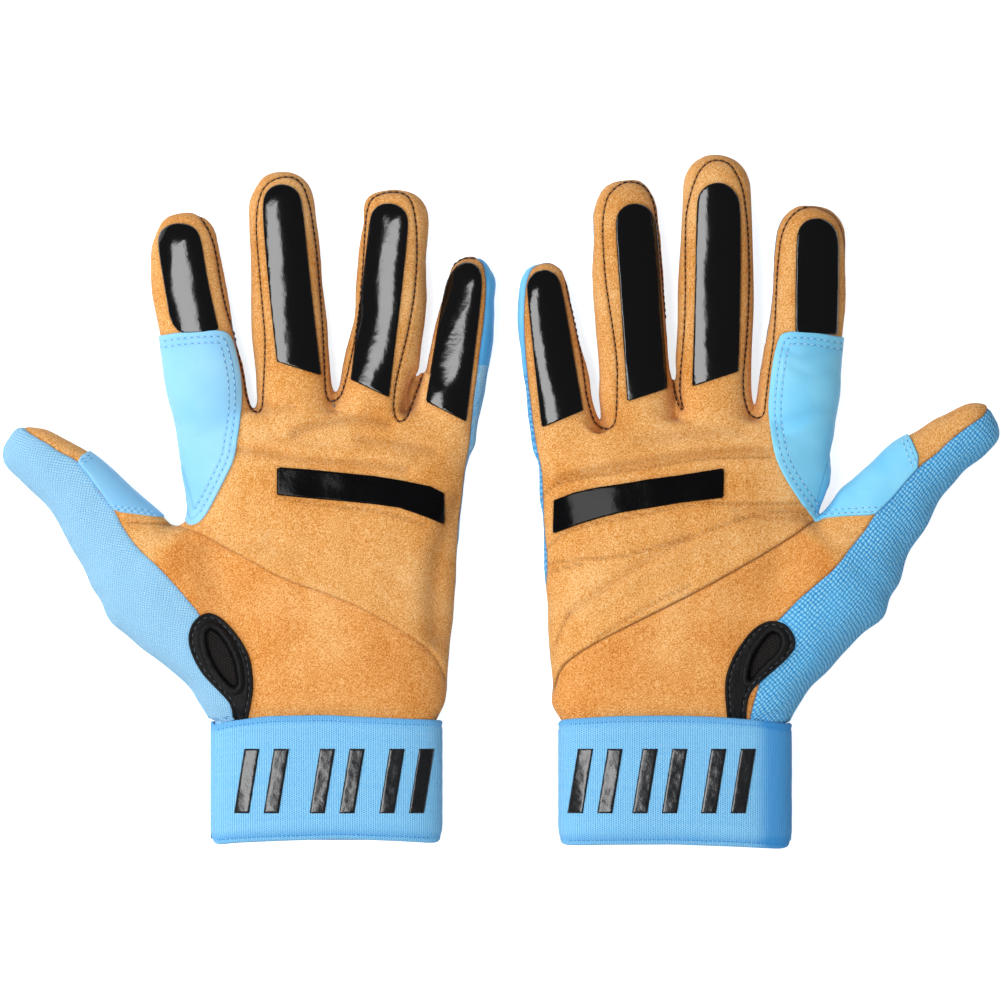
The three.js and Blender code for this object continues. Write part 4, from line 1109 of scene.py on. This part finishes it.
EDGE_STEPS = (0.0, 0.08, 0.25, 0.6)
ROW_INSETS = (2.2, 4.3)
ROW_STEPS = EDGE_STEPS + (1.85, 2.2, 2.55, 3.95, 4.3, 4.65)
EYE_EDGE = -0.8
RIM_OUTER = ((0.0, 0.25, 0.6, 1.0, 1.5, 2.0), (-0.3, 0.75, 1.05, 0.9, 0.6, 0.9))
RIM_ROLL = ((0.0, 0.3, 0.8, 1.6, 2.4, 2.9, 3.3), (-1.0, 1.2, 1.8, 2.0, 1.6, 0.9, 0.55))
RIM_LIMIT = ((0, 0.25, 0.6, 1.4), (-0.3, 0.75, 1.1, 9))
GRIP_THICKNESS, PATCH_THICKNESS, ROW_DEPTH = 0.8, 0.75, 0.56


def raised(thickness):
    return (-0.3, 0.55 * thickness, 0.9 * thickness, thickness)


def overlay(skin, field, steps, heights):
    """The skin inside field = 0, raised by a profile of the distance from the edge."""
    part = skin.take(skin.mean(field) > -3)
    for step in steps:
        part.cut(field, step, 0.04)
    part = part.take(part.mean(field) > 0)
    return part.lifted(np.interp(part.data[field], steps, heights))


# Stitches: shares of a dash, and how high and how thick the thread is there

DASH = np.array([(0, -0.12, 0.35), (0.25, 0.85, 0.95), (0.5, 1.0, 1.0), (0.75, 0.85, 0.95),
                 (1, -0.12, 0.35)])
THREAD_SIDES = 6
STEEPEST = 1.6


def dashes(line, pitch, length, start):
    """Places in the plan along each dash of a line."""
    p = resample(line, 0.25)
    reach = lengths(p)
    at = np.arange(start, reach[-1] - length, pitch)
    return [np.column_stack([np.interp(at + length * share, reach, p[:, k]) for k in range(2)])
            for share in DASH[:, 0]]


def sew(tree, rows, radius, lift):
    """Thread tubes for dashes, laid on the surface below, away from steep places."""
    spots = []
    for dash in zip(*rows):
        hits = [tree.ray_cast(Vector((*p, 80)), Vector((0, 0, -1)), 100)[:2] for p in dash]
        if all(place is not None for place, _ in hits) \
                and np.abs(np.diff([place[2] for place, _ in hits])).max() < STEEPEST:
            spots.append([(np.array(place), np.array(normal)) for place, normal in hits])
    if not spots:
        return None
    place, up = (np.array([[hit[k] for hit in hits] for hits in spots]) for k in (0, 1))
    place = place + up * (DASH[:, 1] * lift)[None, :, None]
    way = unit(np.gradient(place, axis=1))
    side = unit(np.cross(way, up))
    top = np.cross(side, way)
    angle = np.linspace(0, 2 * math.pi, THREAD_SIDES, endpoint=False)
    v = place[:, :, None] + (DASH[:, 2] * radius)[None, :, None, None] * (
        np.cos(angle)[None, None, :, None] * side[:, :, None]
        + np.sin(angle)[None, None, :, None] * top[:, :, None])
    count, levels, sides = v.shape[:3]
    one, last = halves(quads(levels, sides)), (levels - 1) * sides
    for k in range(1, sides - 1):
        one += [(k, k + 1, 0), (last + k + 1, last + k, last)]
    t = np.array(one)[None] + (np.arange(count) * levels * sides)[:, None, None]
    return Sheet(v.reshape(-1, 3), t.reshape(-1, 3))


# One glove


def on_fingers(sheet):
    """Positive inside the part of the skin that follows any of the four fingers."""
    return np.max([sheet.data["in_" + name] for name in FINGERS], axis=0)


def add_fields(hand, lines, skin):
    """Distances inside the outlines of the panels and of the raised pieces."""
    v, f, data = skin.v, hand.fingers, skin.data
    above = v[:, 2] - side_seam(hand, v)
    front = hand.outline(lines["front"] + lines["seam_run"] + lines["front_end"])
    data["front"] = np.minimum(signed(v, front), above)
    web = np.minimum(np.minimum(v[:, 1] - 138, v[:, 0] - f["index"].root[0]),
                     f["little"].root[0] - v[:, 0])
    tan = np.where(on_fingers(skin) > 0, 5.0, web)
    tan = np.where(data["in_little"] > 0, -f["little"].local(v)[0], tan)
    data["tan"] = np.minimum(above, tan)
    seam = hand.curve(lines["seam"], 1)
    far = [(200, seam[-1][1]), (200, -50), (-200, -50), (-200, seam[0][1])]
    data["heel"] = signed(v, np.vstack([seam, far]), 40.0)
    for name, rounds, lowest in (("patch", 1, 6), ("bar", 0, 12), ("thumb_patch", 1, 8),
                                 ("hole", 2, 12), ("eye", 2, 12)):
        data[name] = np.minimum(signed(v, hand.outline(lines[name], rounds)), v[:, 2] - lowest)
    for name, line in lines["grips"].items():
        data["grip_" + name] = np.minimum(signed(v, hand.curve(line)), v[:, 2] - 7)


def panel_skin(hand, lines, skin):
    """The skin cut along its seams, with their grooves and lips, the tone along them, and painted
    shade in the creases, round the raised pieces and near the finger seams.
    """
    for name, levels, snap in (("front", (-1.1, -0.45, 0.0, 0.45, 1.1), 0.1),
                               ("tan", (0.0,), 0.1),
                               ("heel", (-1.5, -0.5, 0.0, 0.5, 1.5), 0.08),
                               ("eye", (EYE_EDGE,), 0.06)):
        for level in levels:
            skin.cut(name, level, snap)
    skin = skin.take(skin.mean("eye") < EYE_EDGE)
    front, heel = skin.data["front"], skin.data["heel"]
    inner = smoothstep(front, 0.5, 3.0) * smoothstep(skin.data["normal"][:, 2], 0.0, 0.3)
    lip = np.where(heel > 0, np.interp(heel, [0, 0.5, 1.5, 4], [-0.45, -0.2, 0.0, 0.0]),
                   np.interp(-heel, [0, 0.5, 1.5, 4, 8], [-0.45, 0.35, 0.5, 0.3, 0.0]))
    groove, sewn = np.zeros(len(skin.v)), np.zeros(len(skin.v))
    for line in lines["quilts"]:
        d = line_distance(skin.v, hand.curve(line))
        groove -= 0.4 * bell(d, 1.0)
        sewn = np.maximum(sewn, 0.46 * bell(d, 0.5))
    skin.lifted(inner * (lip + groove) - 0.45 * bell(front, 0.5)
                - 0.35 * bell(skin.data["tan"], 0.6) * (front < 0))
    tone = 0.8 * bell(front, 0.35) + sewn \
        + inner * (0.45 if hand.sign > 0 else 0.8) * bell(heel, 0.35)
    # Painted shadow on the suede round the edges of the raised pieces.
    for key in ["patch", "bar", "hole"] + ["grip_" + name for name in FINGERS]:
        tone = np.maximum(tone, 0.3 * bell(skin.data[key], 0.6))
    shadow = 0.16 * np.clip(on_fingers(skin) + 2, 0, 1) * bell(front, 2.6)
    skin.data["seam"] = np.clip(tone + 0.5 * skin.data["crease"] + shadow, 0, 1)
    return skin


def keyhole_rim(base):
    """The rolled binding between the keyhole's outline and the eye inside it."""
    rim = base.take((base.mean("hole") > -2) & (base.mean("eye") < 2))
    for step in RIM_OUTER[0]:
        rim.cut("hole", step, 0.05)
    for step in RIM_ROLL[0]:
        rim.cut("eye", -step, 0.05)
    rim = rim.take((rim.mean("hole") > 0) & (rim.mean("eye") < 0))
    outer, inward = rim.data["hole"], -rim.data["eye"]
    height = np.where(inward < RIM_ROLL[0][-1], np.interp(inward, *RIM_ROLL),
                      np.interp(outer, *RIM_OUTER))
    return rim.lifted(np.minimum(height, np.interp(outer, *RIM_LIMIT)))


def build_glove(hand, lines, strap):
    base = base_skin(hand, lines)
    add_fields(hand, lines, base)
    skin = panel_skin(hand, lines, base.copy())
    region = region_of(skin)
    front, heel = skin.mean("front") > 0, skin.mean("heel") > 0
    tan = (skin.mean("tan") > 0) & ~front
    back, palm = ~front & ~tan, region == -1
    beyond = hand.fingers["little"].local(skin.v)[1] - LITTLE_PATCH_START
    tip = beyond[skin.t].mean(1) > 0
    knitted, smooth = "knit_" + hand.side, "leather_" + hand.side
    shown = []

    def put(name, part, material, where, slot, *nodes):
        if not isinstance(part, Sheet):
            part = skin.take(part)
        shown.append(part)
        piece(hand, name, part, material, where, slot, nodes)

    put("palm", palm & front & ~heel, "suede", "hand", "palm_suede", "palm_panel")
    put("heel", palm & front & heel, "suede_heel", "hand", "palm_suede", "heel_panel")
    put("webs", palm & tan, "suede", "hand", "palm_suede")
    put("back", palm & back, knitted, "hand", "knit_mesh", "back_panel")
    for k, name in enumerate(hand.fingers):
        mine = region == k
        put(name + "_face", mine & front, "suede", name, "palm_suede", name + "_front")
        rear = mine & (~front if name == "thumb" else back)
        if name != "thumb":
            put(name + "_fourchette", mine & tan, "suede", name, "palm_suede")
        if name == "little":
            # The left glove's little fingertip side takes the leather with painted shade.
            put("little_tip_side", rear & tip, "leather_painted_shade" if hand.sign > 0 else smooth,
                name, "smooth_leather")
            rear = rear & ~tip
        put(name + "_rear", rear, knitted, name, "knit_mesh", name + "_back")

    for name in FINGERS:
        part = overlay(base, "grip_" + name, EDGE_STEPS, raised(GRIP_THICKNESS))
        put(name + "_grip_strip", part, "grip", name, "grip_black", name + "_grip")
    part = overlay(base, "bar", EDGE_STEPS, raised(GRIP_THICKNESS))
    put("palm_bar", part, "bar", "hand", "grip_black", "palm_grip_bar")

    sunk_rows = (PATCH_THICKNESS, ROW_DEPTH, PATCH_THICKNESS) * len(ROW_INSETS)
    patch = overlay(base, "patch", ROW_STEPS, raised(PATCH_THICKNESS) + sunk_rows)
    # The patch is painted darker in its creases and along its sunk stitch rows: painted shade.
    patch.data["seam"] = 0.25 * patch.data["crease"] \
        + sum(0.4 * bell(patch.data["patch"] - row, 0.3) for row in ROW_INSETS)
    thumb_patch = overlay(base, "thumb_patch", EDGE_STEPS, raised(PATCH_THICKNESS))
    thumb_patch.data["seam"] = np.full(len(thumb_patch.v), 0.2 if hand.sign > 0 else 0.0)
    for part, finger, nodes in ((patch, "index", ["index_patch_palm"]),
                                (thumb_patch, "thumb", [])):
        shown.append(part)
        mine = region_of(part) == list(hand.fingers).index(finger)
        piece(hand, finger + "_leather_palm", part.take(~mine), smooth, "hand",
              "smooth_leather", nodes)
        piece(hand, finger + "_leather_finger", part.take(mine), smooth, finger,
              "smooth_leather", [finger + "_patch"])

    put("keyhole_rim", keyhole_rim(base), "binding", "hand", "black_binding",
        "keyhole_binding")
    gusset = base.take(base.mean("eye") > -1.5).lifted(-1.2)
    piece(hand, "gusset", gusset, "dark_mesh", "hand", "dark_mesh", ["keyhole_gusset"])
    lining = base.take(region_of(base) == -1)
    lining.t = lining.t[:, ::-1]
    piece(hand, "lining", lining.lifted(-1.4), "lining", "hand", "knit_mesh")
    sew_glove(hand, lines, shown + [strap])


def sew_glove(hand, lines, shown):
    whole = merged([Sheet(s.v, s.t) for s in shown])
    tree = BVHTree.FromPolygons(whole.v.tolist(), whole.t.tolist())
    threads = {}

    def sew_row(colour, line, pitch, length, radius, lift, start=0.0):
        sheet = sew(tree, dashes(line, pitch, length, start), radius, lift)
        if sheet is not None:
            threads.setdefault(colour, []).append(sheet)

    sew_row("black_thread", shifted(hand.curve(lines["seam_run"], 1), -0.25), 2.2, 1.6, 0.25,
            0.13)
    first, last = lines["patch_edge"]
    edge = hand.curve(lines["patch"][first:last], 1)
    rows = [shifted(edge, -row) for row in ROW_INSETS]
    for row in rows + [hand.plan(row) for row in lines["thumb_rows"]]:
        sew_row("blue_thread", row, 2.3, 1.3, 0.17, 0.14)
        # Short dark dashes between the light stitches: a painted shadow of the stitch holes.
        sew_row("blue_shadow", row, 2.3, 0.8, 0.16, 0.0, 1.4)
    for line in lines["quilts"]:
        sew_row("tan_thread", hand.curve(line), 1.7, 0.95, 0.14, 0.1)
    hole = hand.outline(lines["hole"], 2)
    rim_line = resample(np.vstack([hole] * 2), 0.6)
    rim_line = rim_line[:len(rim_line) // 2]
    for way in (1.5, -1.5):
        row = shifted(rim_line, way)
        if inside(row, hole).mean() > 0.5:
            keep = row[:, 1] > STRAP["width"] + 2.6
            start = int(np.argmin(keep))
            row, keep = np.roll(row, -start, axis=0), np.roll(keep, -start)
            sew_row("grey_thread", row[keep], 2.6, 1.5, 0.15, 0.12)
    x = np.linspace(-37, 37, 60)
    top, low = cuff_edge(lines["cuff_top"], x), cuff_edge(lines["cuff_low"], x)
    # Along the strap the dark dashes are its rows of darker stitches.
    sew_row("blue_shadow", np.column_stack([x, STRAP["width"] + top - 1.9]), 1.5, 0.8, 0.14,
            0.1)
    sew_row("blue_shadow", np.column_stack([x, low + LOW_ROW]), 1.5, 1.0, 0.16, 0.1)

    slots = dict(black="black_binding", grey="black_binding", blue="smooth_leather",
                 tan="palm_suede")
    names, span = list(hand.fingers), len(DASH) * THREAD_SIDES
    for colour, sheets in threads.items():
        sheet = merged(sheets)
        middles = sheet.v.reshape(-1, span, 3).mean(1)
        owner = np.full(len(middles), -1)
        for k, f in enumerate(hand.fingers.values()):
            owner[finger_field(hand, f, middles) > 0] = k
        owners = np.repeat(owner, span)[sheet.t[:, 0]]
        for k in sorted(set(owner)):
            where = "hand" if k == -1 else names[k]
            piece(hand, f"{where}_{colour}", sheet.take(owners == k), colour, where,
                  slots[colour.split("_")[0]], shaded=False)


# The strap and its closure: rows of stitches up from the lower edge, and rows across a strip

LOW_ROW, SECOND_ROW, TOP_ROW = 1.7, 3.4, 41.0
TAB_ROWS = (2.6, 40.4)
STRIP_ROWS = 43
EDGE_ROWS = [0.004, 0.012, 0.025, 0.975, 0.988, 0.996]


def super_path(half_depth, height, low, high, inset=0.0):
    """Points round the rounded section of the strap, between two angles in degrees."""
    angle = np.radians(np.linspace(low, high, 1600))
    cos, sin = np.cos(angle), np.sin(angle)
    half_width, power = STRAP["half_width"] - inset, STRAP["power"]
    p = np.column_stack([half_width * np.sign(cos) * np.abs(cos) ** (2 / power),
                         height + half_depth * np.sign(sin) * np.abs(sin) ** (2 / power)])
    return resample(p, 1.0)


def band(path, thickness, y_low, y_high, grooves=(), pinch=0.0):
    """A thick strip along a path in the x and z plane, with rounded edges."""
    t = unit(np.gradient(path, axis=0))
    out = np.column_stack([t[:, 1], -t[:, 0]])
    reach = lengths(path)
    width, r = STRAP["width"], thickness / 2

    def rounded(s):
        return -r + math.sqrt(max(r * r - (r - min(min(s, 1 - s) * width, r)) ** 2, 0))

    shares = np.unique(np.concatenate([np.linspace(0, 1, STRIP_ROWS), EDGE_ROWS]))
    profile = [(s, rounded(s) + sum(-size * math.exp(-((s * width - at) / spread) ** 2)
                                    for at, size, spread in grooves)) for s in shares]
    profile += [(s, -thickness - rounded(s)) for s in shares[::4][::-1]]
    count = len(profile)
    v, rest = np.zeros((2, len(path), count, 3))
    for k, (s, offset) in enumerate(profile):
        ripple = 0.07 * np.sin(reach * 1.9 + s * 5) * np.sin(s * 21 + reach * 0.11)
        extra = offset + (ripple if k < len(shares) else 0) \
            - pinch * max(0.0, 1 - s * width / 6.0) ** 2
        v[:, k, 0] = path[:, 0] + out[:, 0] * extra
        v[:, k, 1] = y_low + (y_high - y_low) * s
        v[:, k, 2] = path[:, 1] + out[:, 1] * extra
        rest[:, k, 0], rest[:, k, 1], rest[:, k, 2] = reach, s * width, offset
    points, rests = (np.vstack([a.reshape(-1, 3), a[0].mean(0), a[-1].mean(0)])
                     for a in (v, rest))
    tris = halves(quads(len(path), count))
    first, last, end = len(points) - 2, len(points) - 1, (len(path) - 1) * count
    for k, n in around(count):
        tris += [(first, k, n), (last, end + n, end + k)]
    return Sheet(points, np.array(tris), {"rest": rests}).faced_out(), reach, out


def pad(length, width, low, thickness, corner=3.0):
    """A flat pad with rounded corners and edges, behind the middle of the strap."""
    outline = np.array([
        (sx * (length / 2 - corner) + corner * math.cos(angle),
         sy * (width / 2 - corner) + corner * math.sin(angle))
        for quarter, (sx, sy) in enumerate(((1, 1), (-1, 1), (-1, -1), (1, -1)))
        for angle in np.radians(np.linspace(quarter * 90, quarter * 90 + 90, 7))])
    n = len(outline)
    rows = [np.column_stack([outline * share + [0, STRAP["width"] / 2],
                             np.full(n, low + z * thickness)])
            for share, z in ((0.0, 0.0), (0.975, 0.0), (1.0, 0.2), (1.0, 0.8), (0.98, 1.0),
                             (0.8, 1.03), (0.5, 1.05), (0.0, 1.06))]
    tris = []
    for a, d, c, b in quads(len(rows), n):
        if a >= n:
            tris.append((a, b, c))
        if a < n * (len(rows) - 2):
            tris.append((a, c, d))
    return Sheet(np.vstack(rows), np.array(tris))


def cuff_edge(points, x):
    """How far an edge of the strap bows along Y, by place across the glove."""
    at, value = np.array(points, float).T
    return sum(np.interp(x + shift, at, value) for shift in (-3, -1.5, 0, 1.5, 3)) / 5


def fitted(path, lines):
    """The path at the photographed width, drawn back to the tab's hinge on the thumb side."""
    shift, scale = lines["cuff_fit"]
    near = (path[:, 0] < 0) * bell(path[:, 1] - TAB["height"] - 0.5, 3.0)
    move = (1 - lines["hinge"][0] * near) * (path[:, 0] * (scale - 1) + shift)
    return path + np.column_stack([move, np.zeros(len(path))])


def build_strap(hand, lines):
    s, t = STRAP, TAB
    path = super_path(s["half_depth"], s["height"], -118, 186)
    path = path[np.argmax((path[:, 0] >= s["back_end"]) | (path[:, 1] >= 6)):]
    while path[-1][1] < t["height"] + t["wall"] / 2 + lines["hinge"][1]:
        path = path[:-1]
    path = fitted(path, lines)
    front = smoothstep(path[:, 1], 13, 25)
    crown = cuff_edge(lines["cuff_top"], path[:, 0]) * front
    foot = cuff_edge(lines["cuff_low"], path[:, 0]) * front + BACK_EDGE * (1 - front)
    grooves = [(LOW_ROW, 0.35, 0.45), (SECOND_ROW, 0.15, 0.35), (TOP_ROW, 0.3, 0.45)]
    strap, reach, out = band(path, s["wall"], foot, s["width"] + crown, grooves, 1.1)
    y = strap.data["rest"][:, 1]
    # The strap is darker along its stitched grooves and its top edge, partly the hems' own tone
    # and partly painted shade in the grooves, and gets painted shade towards its end on the thumb
    # side, where it curves away.
    place, fade, amount = lines["deep"]
    strap.data["seam"] = bell(y - LOW_ROW, 0.55) + 0.5 * bell(y - SECOND_ROW, 0.5) \
        + 0.6 * smoothstep(y, TOP_ROW, TOP_ROW + 1) + 0.4 * bell(y - TOP_ROW, 0.4) \
        + amount * smoothstep(-strap.v[:, 0], place, place + fade)
    piece(hand, "strap", strap, "elastic", "hand", "elastic_blue", ["wrist_strap"], False)
    marks(hand, lines, path, reach, out)

    path = super_path(t["height"], t["height"], 180, 300)
    path = fitted(path[:np.argmax(path[:, 0] > t["reach"])], lines)
    tab, _, _ = band(path, t["wall"], BACK_EDGE + 0.4, s["width"] - 0.4,
                     [(row, 0.3, 0.5) for row in TAB_ROWS])
    y = tab.data["rest"][:, 1]
    # Darker along the two stitched grooves: partly the rows' own tone, partly painted shade in
    # the grooves.
    tab.data["seam"] = sum(0.7 * bell(y - row, 0.6) for row in TAB_ROWS)
    piece(hand, "tab", tab, "elastic", "tab", "elastic_blue", ["closure_tab"], False)

    # a thin fold of elastic closes the wrist behind the tab
    inset = s["wall"] + 0.2
    path = super_path(s["half_depth"] - inset, s["height"], 170, 259, inset)
    path = path[(path[:, 1] < 18.5) & (path[:, 0] < -15)]
    fold, _, _ = band(fitted(path, lines), 0.5, 2.4, 41.0)
    piece(hand, "strap_fold", fold, "elastic", "hand", "elastic_blue", (), False)

    back = s["height"] - s["half_depth"]
    for name, drop, region in (("loop", 0.9, "hand"), ("hook", 1.8, "tab")):
        piece(hand, name + "_tape", pad(30, 33, back - drop, 0.6), "hook", region,
              "hook_and_loop", [name + "_pad"], False)
    return strap


def marks(hand, lines, path, reach, out):
    """Pairs of plain slanted raised bars on the front of the strap."""
    top = path[:, 1] > 20
    order = np.argsort(path[top, 0])
    xs, along = path[top, 0][order], reach[top][order]
    width, slant, spread = 5.5, 3.6 * hand.sign, 10.2
    low, high = hand.plan([(0, 813), (0, 748)])[:, 1]
    middles = hand.plan([(x, 780) for x in lines["marks"]])[:, 0]
    u = np.array([0, 0.03, 0.09, 0.2, 0.35, 0.5, 0.65, 0.8, 0.91, 0.97, 1])
    w = np.concatenate([[0, 0.006, 0.018, 0.04], np.linspace(0.08, 0.92, 16),
                        [0.96, 0.982, 0.994, 1]])
    U, W = np.meshgrid(u, w, indexing="ij")
    edge = np.minimum(np.minimum(U, 1 - U) * width, np.minimum(W, 1 - W) * (high - low))
    lift = np.interp(edge, [0, 0.14, 0.42, 0.9], [-0.3, 0.2, 0.4, 0.44])
    a = (np.arange(len(u) - 1)[:, None] * len(w) + np.arange(len(w) - 1)[None]).ravel()
    t = np.vstack([np.column_stack([a, a + len(w), a + len(w) + 1]),
                   np.column_stack([a, a + len(w) + 1, a + 1])])
    sheets = []
    for x in [middle + side * spread / 2 for middle in middles for side in (-1, 1)]:
        at = np.interp(x + (U - 0.5) * width + (W - 0.5) * slant, xs, along)
        px, pz = (np.interp(at, reach, path[:, k]) for k in (0, 1))
        ox, oz = (np.interp(at, reach, out[:, k]) for k in (0, 1))
        v = np.stack([px + ox * lift, low + W * (high - low), pz + oz * lift], axis=2)
        sheets.append(Sheet(v.reshape(-1, 3), t))
    piece(hand, "strap_bars", merged(sheets), "mark", "hand", "grip_black", shaded=False)


# Camera, light and stage

scene = bpy.context.scene
scene.view_settings.view_transform = "Standard"
CAMERA_HEIGHT, SENSOR_WIDTH, MIDDLE = 8.0, 36, 0.012
camera = bpy.data.cameras.new("camera")
camera.sensor_width = SENSOR_WIDTH
camera.lens = SENSOR_WIDTH * (CAMERA_HEIGHT - MIDDLE) / (1001 * PIXEL / 1000)
camera.clip_start, camera.clip_end = 0.1, 100
scene.camera = bpy.data.objects.new("camera", camera)
scene.camera.location = (0.00019, 0.00038, CAMERA_HEIGHT)
scene.collection.objects.link(scene.camera)


def lamp(name, place, size, radiance, mirrored, aim=(0, 0, 0.01)):
    """A soft rectangle of light, which glossy surfaces show or don't show."""
    light = bpy.data.lights.new(name, "AREA")
    light.shape, light.size, light.size_y = "RECTANGLE", size[0], size[1]
    light.energy = radiance * math.pi * size[0] * size[1]
    obj = bpy.data.objects.new(name, light)
    obj.location, obj.visible_glossy = place, mirrored
    obj.rotation_euler = (Vector(aim) - Vector(place)).to_track_quat("-Z", "Y").to_euler()
    scene.collection.objects.link(obj)


lamp("key", (-0.42, -0.08, 1.2), (0.95, 0.55), 6.6, True)
lamp("side", (-1.3, 0.5, 0.75), (0.9, 0.9), 5.0, False)
lamp("fill", (0.75, 0.0, 1.3), (0.7, 0.9), 1.75, False)
lamp("low_fill", (0.0, -1.4, 0.8), (0.9, 0.5), 1.3, False)

scene.world = bpy.data.worlds.new("world")
scene.world.use_nodes = True
background = scene.world.node_tree.nodes["Background"].inputs
background["Color"].default_value = (0.97, 0.98, 1.0, 1)
background["Strength"].default_value = 0.08


def white_paper():
    """A white that glows a little for the camera, so that it shows as plain white."""
    g = Graph("stage_white")
    rays = g.add("LightPath").outputs
    seen = g.math("MAXIMUM", rays["Is Camera Ray"], rays["Is Glossy Ray"])
    seen = g.math("MAXIMUM", seen, rays["Is Transmission Ray"])
    paper = g.add("BsdfDiffuse", {"Color": (0.9, 0.9, 0.9, 1)})
    glow = g.add("Emission", {"Color": (1, 1, 1, 1), "Strength": g.times(seen, 0.78)})
    both = g.add("AddShader", {0: paper.outputs[0], 1: glow.outputs[0]})
    g.tree.links.new(both.outputs[0], g.out.inputs[0])
    return g.material


def disc_and_wall(radius, height, sides=96):
    angle = np.linspace(0, 2 * math.pi, sides, endpoint=False)
    edge = np.column_stack([radius * np.cos(angle), radius * np.sin(angle)])
    v = [(0, 0, 0)] + [(x, y, z) for z in (0, height) for x, y in edge]
    faces = []
    for k, n in around(sides):
        faces += [(0, 1 + k, 1 + n), (1 + k, 1 + sides + k, 1 + sides + n, 1 + n)]
    mesh = bpy.data.meshes.new("floor")
    mesh.from_pydata(v, [], faces)
    mesh.materials.append(white_paper())
    obj = bpy.data.objects.new("floor", mesh)
    scene.collection.objects.link(obj)


disc_and_wall(20.0, 4.0)

for hand, lines in ((LEFT, LEFT_LINES), (RIGHT, RIGHT_LINES)):
    build_glove(hand, lines, build_strap(hand, lines))
